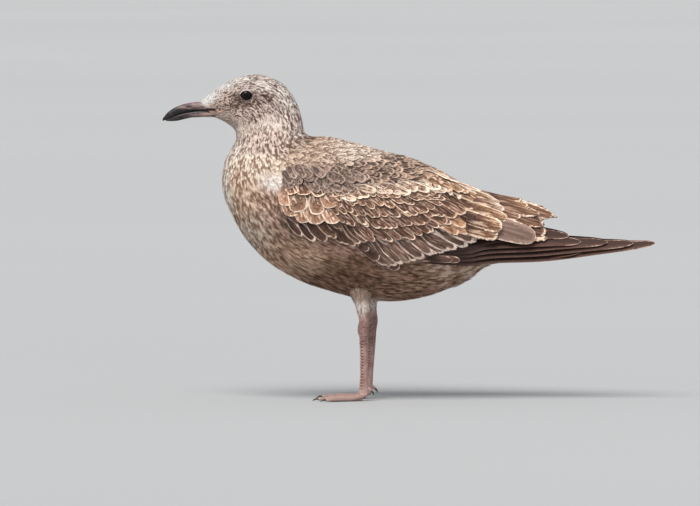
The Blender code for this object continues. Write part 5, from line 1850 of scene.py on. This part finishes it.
def joined_leg(name, side, top, ankle, foot):
    """All skin of one leg as one rough mesh of closed lofts."""
    lofts = [limb((top, ankle, foot), SHANK, side, rings=120),
             limb(from_foot(foot, HIND_TOE), HIND_SIZES, side, rings=16)]
    for i, toe in enumerate(TOES):
        start, way, length = toe_line(foot, toe, i)
        path = [start + way * length * f + (0, 0, z) for f, z in TOE_RISE]
        sizes = {f: (half * (1 + 0.10 * math.cos(f * length * 2 * math.pi / TOE_JOINT)), wide, 0)
                 for f, half, wide in TOE_SIZES}
        lofts.append(limb(path, sizes, side, rings=50))
    mesh = bmesh.new()
    for points, faces in lofts:
        corners = [mesh.verts.new(p * MM) for p in np.asarray(points)]
        for face in faces:
            mesh.faces.new([corners[i] for i in face])
    for first, second, order in (("inner", "middle", 0), ("middle", "outer", 1)):
        sheet = web_sheet(foot, first, second, order, side)
        mesh.from_mesh(sheet.data)
        bpy.data.objects.remove(sheet)
    bmesh.ops.recalc_face_normals(mesh, faces=mesh.faces)
    data = bpy.data.meshes.new(f"leg_{name}")
    mesh.to_mesh(data)
    mesh.free()
    return data


print("toes", *TOES)

# %% [markdown]
# Scutes are raised by moving each point along its normal. The depth of the groove beside it is
# stored, so that the finish can paint shade into the grooves between the shields. The soles stay flat.

# %% The scutes
def apply_modifiers(obj):
    bpy.context.view_layer.update()
    graph = bpy.context.evaluated_depsgraph_get()
    done = bpy.data.meshes.new_from_object(obj.evaluated_get(graph), depsgraph=graph)
    obj.modifiers.clear()
    obj.data = done


def band(low, full, full_end, high, value):
    """0 below low and above high, 1 between the two full values."""
    return step_up(low, full, value) * step_up(high, full_end, value)


def raise_scutes(data, foot, side):
    """Broad shields down the shank's front and along the toes; the grooves between are stored."""
    points = data_points(data)
    flat = np.empty(len(data.vertices) * 3, np.float32)
    data.vertex_normals.foreach_get("vector", flat)
    normals = flat.reshape(-1, 3).astype(float)
    x, y, z = points.T / MM
    shank = band(11, 16, 67, 73, z)
    front = step_up(0.10, -0.45, normals[:, 0])
    shield = step_up(0.10, 0.70, np.abs(np.sin(math.pi * z / SCUTE_STEP)))
    toes = step_up(12, 8, z) * step_up(0.2, 0.6, normals[:, 2]) * step_up(2.9, 3.6, z)
    reach = np.hypot(x - foot[0], y * side - foot[1])
    joints = step_up(0.10, 0.60, np.abs(np.sin(math.pi * reach / TOE_SCUTE_STEP)))
    groove = shank * front * (1 - shield) + toes * (1 - joints)
    # small knobs all over the ankle
    knobs = band(58, 66, 88, 98, z)
    pebble = np.array([noise.noise(Vector(p) * 1000 / PEBBLE) for p in points])
    rise = (shank * front * (shield * 1.15 - 0.45) + toes * (joints * 0.42 - 0.14)
            + knobs * 0.42 * pebble + 0.10 * pebble)
    points = points + normals * (rise * MM)[:, None]
    points[:, 2] = np.maximum(points[:, 2], 0.0)
    data.vertices.foreach_set("co", points.astype(np.float32).ravel())
    # how deep each point lies in a groove or between the ankle's knobs, for painted shade in the finish
    write_attribute(data, "groove", np.clip(groove + knobs * step_up(0.05, -0.35, pebble), 0, 1))


print("scutes every", SCUTE_STEP, "mm on the shank and every", TOE_SCUTE_STEP, "mm on the toes")

# %% [markdown]
# The skin of the legs is pink, duller at the ankle and paler on the toes, with painted shade in the
# grooves between the scutes and a fine net of scales. The claws are blackish horn.

# %% Two finished legs with their claws
def make_leg_finish():
    finish, tree, shader = new_material("scaly leg skin", 0.46, 0.4)
    where = object_place(tree)
    z = parts(where)[2]
    scales = add_node(tree, "ShaderNodeTexVoronoi", {"feature": "DISTANCE_TO_EDGE"},
                      {"Vector": where, "Scale": 560.0})
    seams = minus(1.0, soft_step(0.02, 0.16, scales.outputs[0]))
    colour = mix_colour(soft_step(0.35, 0.7, grain(tree, 110.0, 4.0)),
                        (0.29, 0.165, 0.14, 1), (0.47, 0.31, 0.27, 1))
    heel = minus(1.0, soft_step(0.006, 0.018, calc("ABSOLUTE", minus(z, 0.077))))
    dusk = times(heel, soft_step(0.30, 0.62, grain(tree, 260.0, 4.0)))
    colour = mix_colour(times(dusk, 0.45), colour, (0.24, 0.12, 0.11, 1))
    foot = minus(1.0, soft_step(0.008, 0.022, z))
    colour = mix_colour(times(foot, 0.5), colour, (0.52, 0.38, 0.33, 1))
    colour = mix_colour(times(seams, 0.35), colour, (0.24, 0.13, 0.115, 1))
    # painted shade: the grooves between the scutes and the knobs are darkened by their depth
    groove = named_value(tree, "groove", "Fac")
    paint(shader, mix_colour(times(groove, 0.85), colour, (0.12, 0.055, 0.048, 1)))
    shader.inputs["Subsurface Weight"].default_value = 0.06
    shader.inputs["Subsurface Radius"].default_value = (0.003, 0.0012, 0.0008)
    bump(shader, minus(1.0, seams), 0.6, 0.0003)
    return finish


def make_leg(name, side, finish):
    top, ankle, foot = LEGS[name]
    leg = bpy.data.objects.new(f"leg_{name}", joined_leg(name, side, top, ankle, foot))
    bpy.context.scene.collection.objects.link(leg)
    voxels = leg.modifiers.new("one skin", "REMESH")
    voxels.mode, voxels.voxel_size = "VOXEL", VOXEL
    smooth = leg.modifiers.new("soften", "SMOOTH")
    smooth.factor, smooth.iterations = 0.5, 4
    apply_modifiers(leg)
    leg.data.materials.clear()
    leg.data.materials.append(finish)
    leg.data.shade_smooth()
    raise_scutes(leg.data, foot, side)
    print(leg.name, len(leg.data.polygons), "faces")
    return hand_over(leg, "leg_skin", *(f"{part}_{name}" for part in LEG_SOLIDS))


def make_claws(name, side, finish):
    foot = LEGS[name][2]
    claws = {f"hind_claw_{name}": from_foot(foot, HIND_CLAW)}
    for i, toe in enumerate(TOES):
        start, way, length = toe_line(foot, toe, i)
        claws[f"claw_{name}_{toe}"] = [start + way * (length + CLAW_REACH * f) + (0, 0, z)
                                       for f, z in CLAW_RISE]
    for node_name, path in claws.items():
        points, faces = limb(path, CLAW_SIZES, side, rings=16, around=14)
        claw = outward(mesh_object(f"{node_name}_horn", points * MM, faces, finish))
        hand_over(claw, "claw_horn", node_name)


def make_claw_finish():
    finish, tree, shader = new_material("claw horn", 0.35, 0.5)
    paint(shader, mix_colour(grain(tree, 500.0, 3.0), (0.015, 0.012, 0.011, 1), (0.07, 0.055, 0.05, 1)))
    return finish


leg_finish, claw_finish = make_leg_finish(), make_claw_finish()
for leg_name, leg_side in SIDES.items():
    make_leg(leg_name, leg_side, leg_finish)
    make_claws(leg_name, leg_side, claw_finish)

# %% [markdown]
# The upper shank wears a sleeve of short whitish feathers, which comes out of the belly and thins
# out above the ankle, into the pink of the bare leg. It is a small skin of its own, with its lie
# running down the leg, and the same tree plants its feathers. Its lower end narrows into the leg,
# where each of the last feathers ends at another height, so that no hem shows.

# %% The feathered sleeves
SLEEVE = {0.0: (8.0, 5.0, 0.0), 0.3: (12.5, 9.0, 1.0), 0.46: (12.5, 9.5, 1.5), 0.62: (8.6, 7.6, 0.5),
          0.76: (6.6, 5.9, 0.0), 1.0: (4.0, 3.6, 0.0)}  # share of the way down: half depth, half width
SLEEVE_END = 0.78  # of the way from the leg's top to its ankle
SLEEVE_TURNS, SLEEVE_RINGS = 32, 30
SLEEVE_SPACING, SLEEVE_FEATHER = 1.5, (7.5, 2.2, 0.7)  # length, width, lift
SLEEVE_SCATTER_SEED, SLEEVE_DRESS_SEED = 3, 77
DOWNY, FLESHY = np.array((0.93, 0.82, 0.75)), np.array((0.56, 0.37, 0.32))
BELLY_BROWN = np.array((0.42, 0.29, 0.22))
BARE_FROM, BARE_BY = 113 * MM, 98 * MM  # the heights between which white feathers give way to skin
BELLY_FROM, BELLY_BY = 113 * MM, 122 * MM  # the heights between which white feathers give way to brown


def make_sleeve(name, side):
    top, ankle, _ = LEGS[name]
    end = np.add(top, np.subtract(ankle, top) * SLEEVE_END)
    points, faces = limb((top, (np.add(top, end)) / 2, end), SLEEVE, side, SLEEVE_RINGS, SLEEVE_TURNS)
    sleeve = outward(mesh_object(f"thigh_skin_{name}", points * MM, faces, skin.data.materials[0]))
    data = sleeve.data
    top, end = np.multiply(top, (1, side, 1)), np.multiply(end, (1, side, 1))
    co = data_points(data)
    share = np.repeat(np.linspace(0, 1, SLEEVE_RINGS), SLEEVE_TURNS)
    turn = np.tile(np.arange(SLEEVE_TURNS) / SLEEVE_TURNS, SLEEVE_RINGS)
    axis = np.outer(1 - share, top) + np.outer(share, end)
    write_attribute(data, "lie", np.tile(unit(end - top), (len(co), 1)))
    write_attribute(data, "out", unit((co / MM - axis) * (1, 1, 0.1)))
    write_attribute(data, "place", np.column_stack([share, turn, 0 * turn]))
    write_attribute(data, "tract_sleeve", 1 - 0.8 * step_up(0.72, 1.0, share))
    bare = step_up(BARE_FROM, BARE_BY, co[:, 2])[:, None]
    # painted shade: the sleeve's skin is darkened where the feathers lie over it
    write_attribute(data, "ground", with_alpha(0.6 * DOWNY * (1 - bare) + FLESHY * bare))
    return hand_over(sleeve, "body_feathers", f"thigh_{name}")


def dress_sleeve(name, sleeve):
    random = np.random.default_rng(SLEEVE_DRESS_SEED)
    roots = scattered_roots(sleeve, "sleeve", SLEEVE_SPACING, SLEEVE_SCATTER_SEED)
    count, height = len(roots["co"]), roots["co"][:, 2]
    length, width, lift = SLEEVE_FEATHER
    belly = step_up(BELLY_FROM, BELLY_BY, height)[:, None]
    shade = DOWNY * (1 - belly) + BELLY_BROWN * belly
    bare = 0.85 * step_up(BARE_FROM, BARE_BY, height)[:, None]
    shade = shade * (1 - bare) + FLESHY * bare
    tone, dusky = random.normal(1, 0.10, count)[:, None], (random.random(count) < 0.2)[:, None]
    shade = shade * tone * (1 - 0.35 * dusky)
    roots["ground"], roots["mark"] = with_alpha(shade), with_alpha(shade * 0.6, 0.4)
    roots["edge"] = with_alpha(shade, 0.2)
    roots["pattern"] = np.tile((0.6, 0.0, 0.1), (count, 1)) * random.uniform(0.9, 1.1, (count, 3))
    roots["size"] = np.column_stack([random.uniform(0.5, 1.5, count) * length * MM,
                                     random.uniform(0.5, 1.1, count) * width * MM, np.ones(count)])
    roots["raise"] = np.column_stack([random.uniform(0.6, 1.3, count) * lift * MM,
                                      random.uniform(-0.2, 0.2, count) * MM, 0.2 * MM * np.ones(count)])
    roots["base"] = random.uniform(0, 0.1, count) * MM
    roots["lie"] = sway(roots, random, 0.16)
    plant_coat(f"coat_thigh_{name}", roots, "streak", "body_feathers", base=sleeve)


for leg_name, leg_side in SIDES.items():
    dress_sleeve(leg_name, make_sleeve(leg_name, leg_side))

# %% [markdown]
# The skin stands for every solid of flesh and small feathers, and it rides with the body as all
# pieces do. The feathers that were drawn once to be repeated are taken away.

# %% Hand over
hand_over(skin, "body_feathers", *FLESH)
for shelf in shelves.values():
    for feather in list(shelf.objects):
        bpy.data.objects.remove(feather)
    bpy.data.collections.remove(shelf)
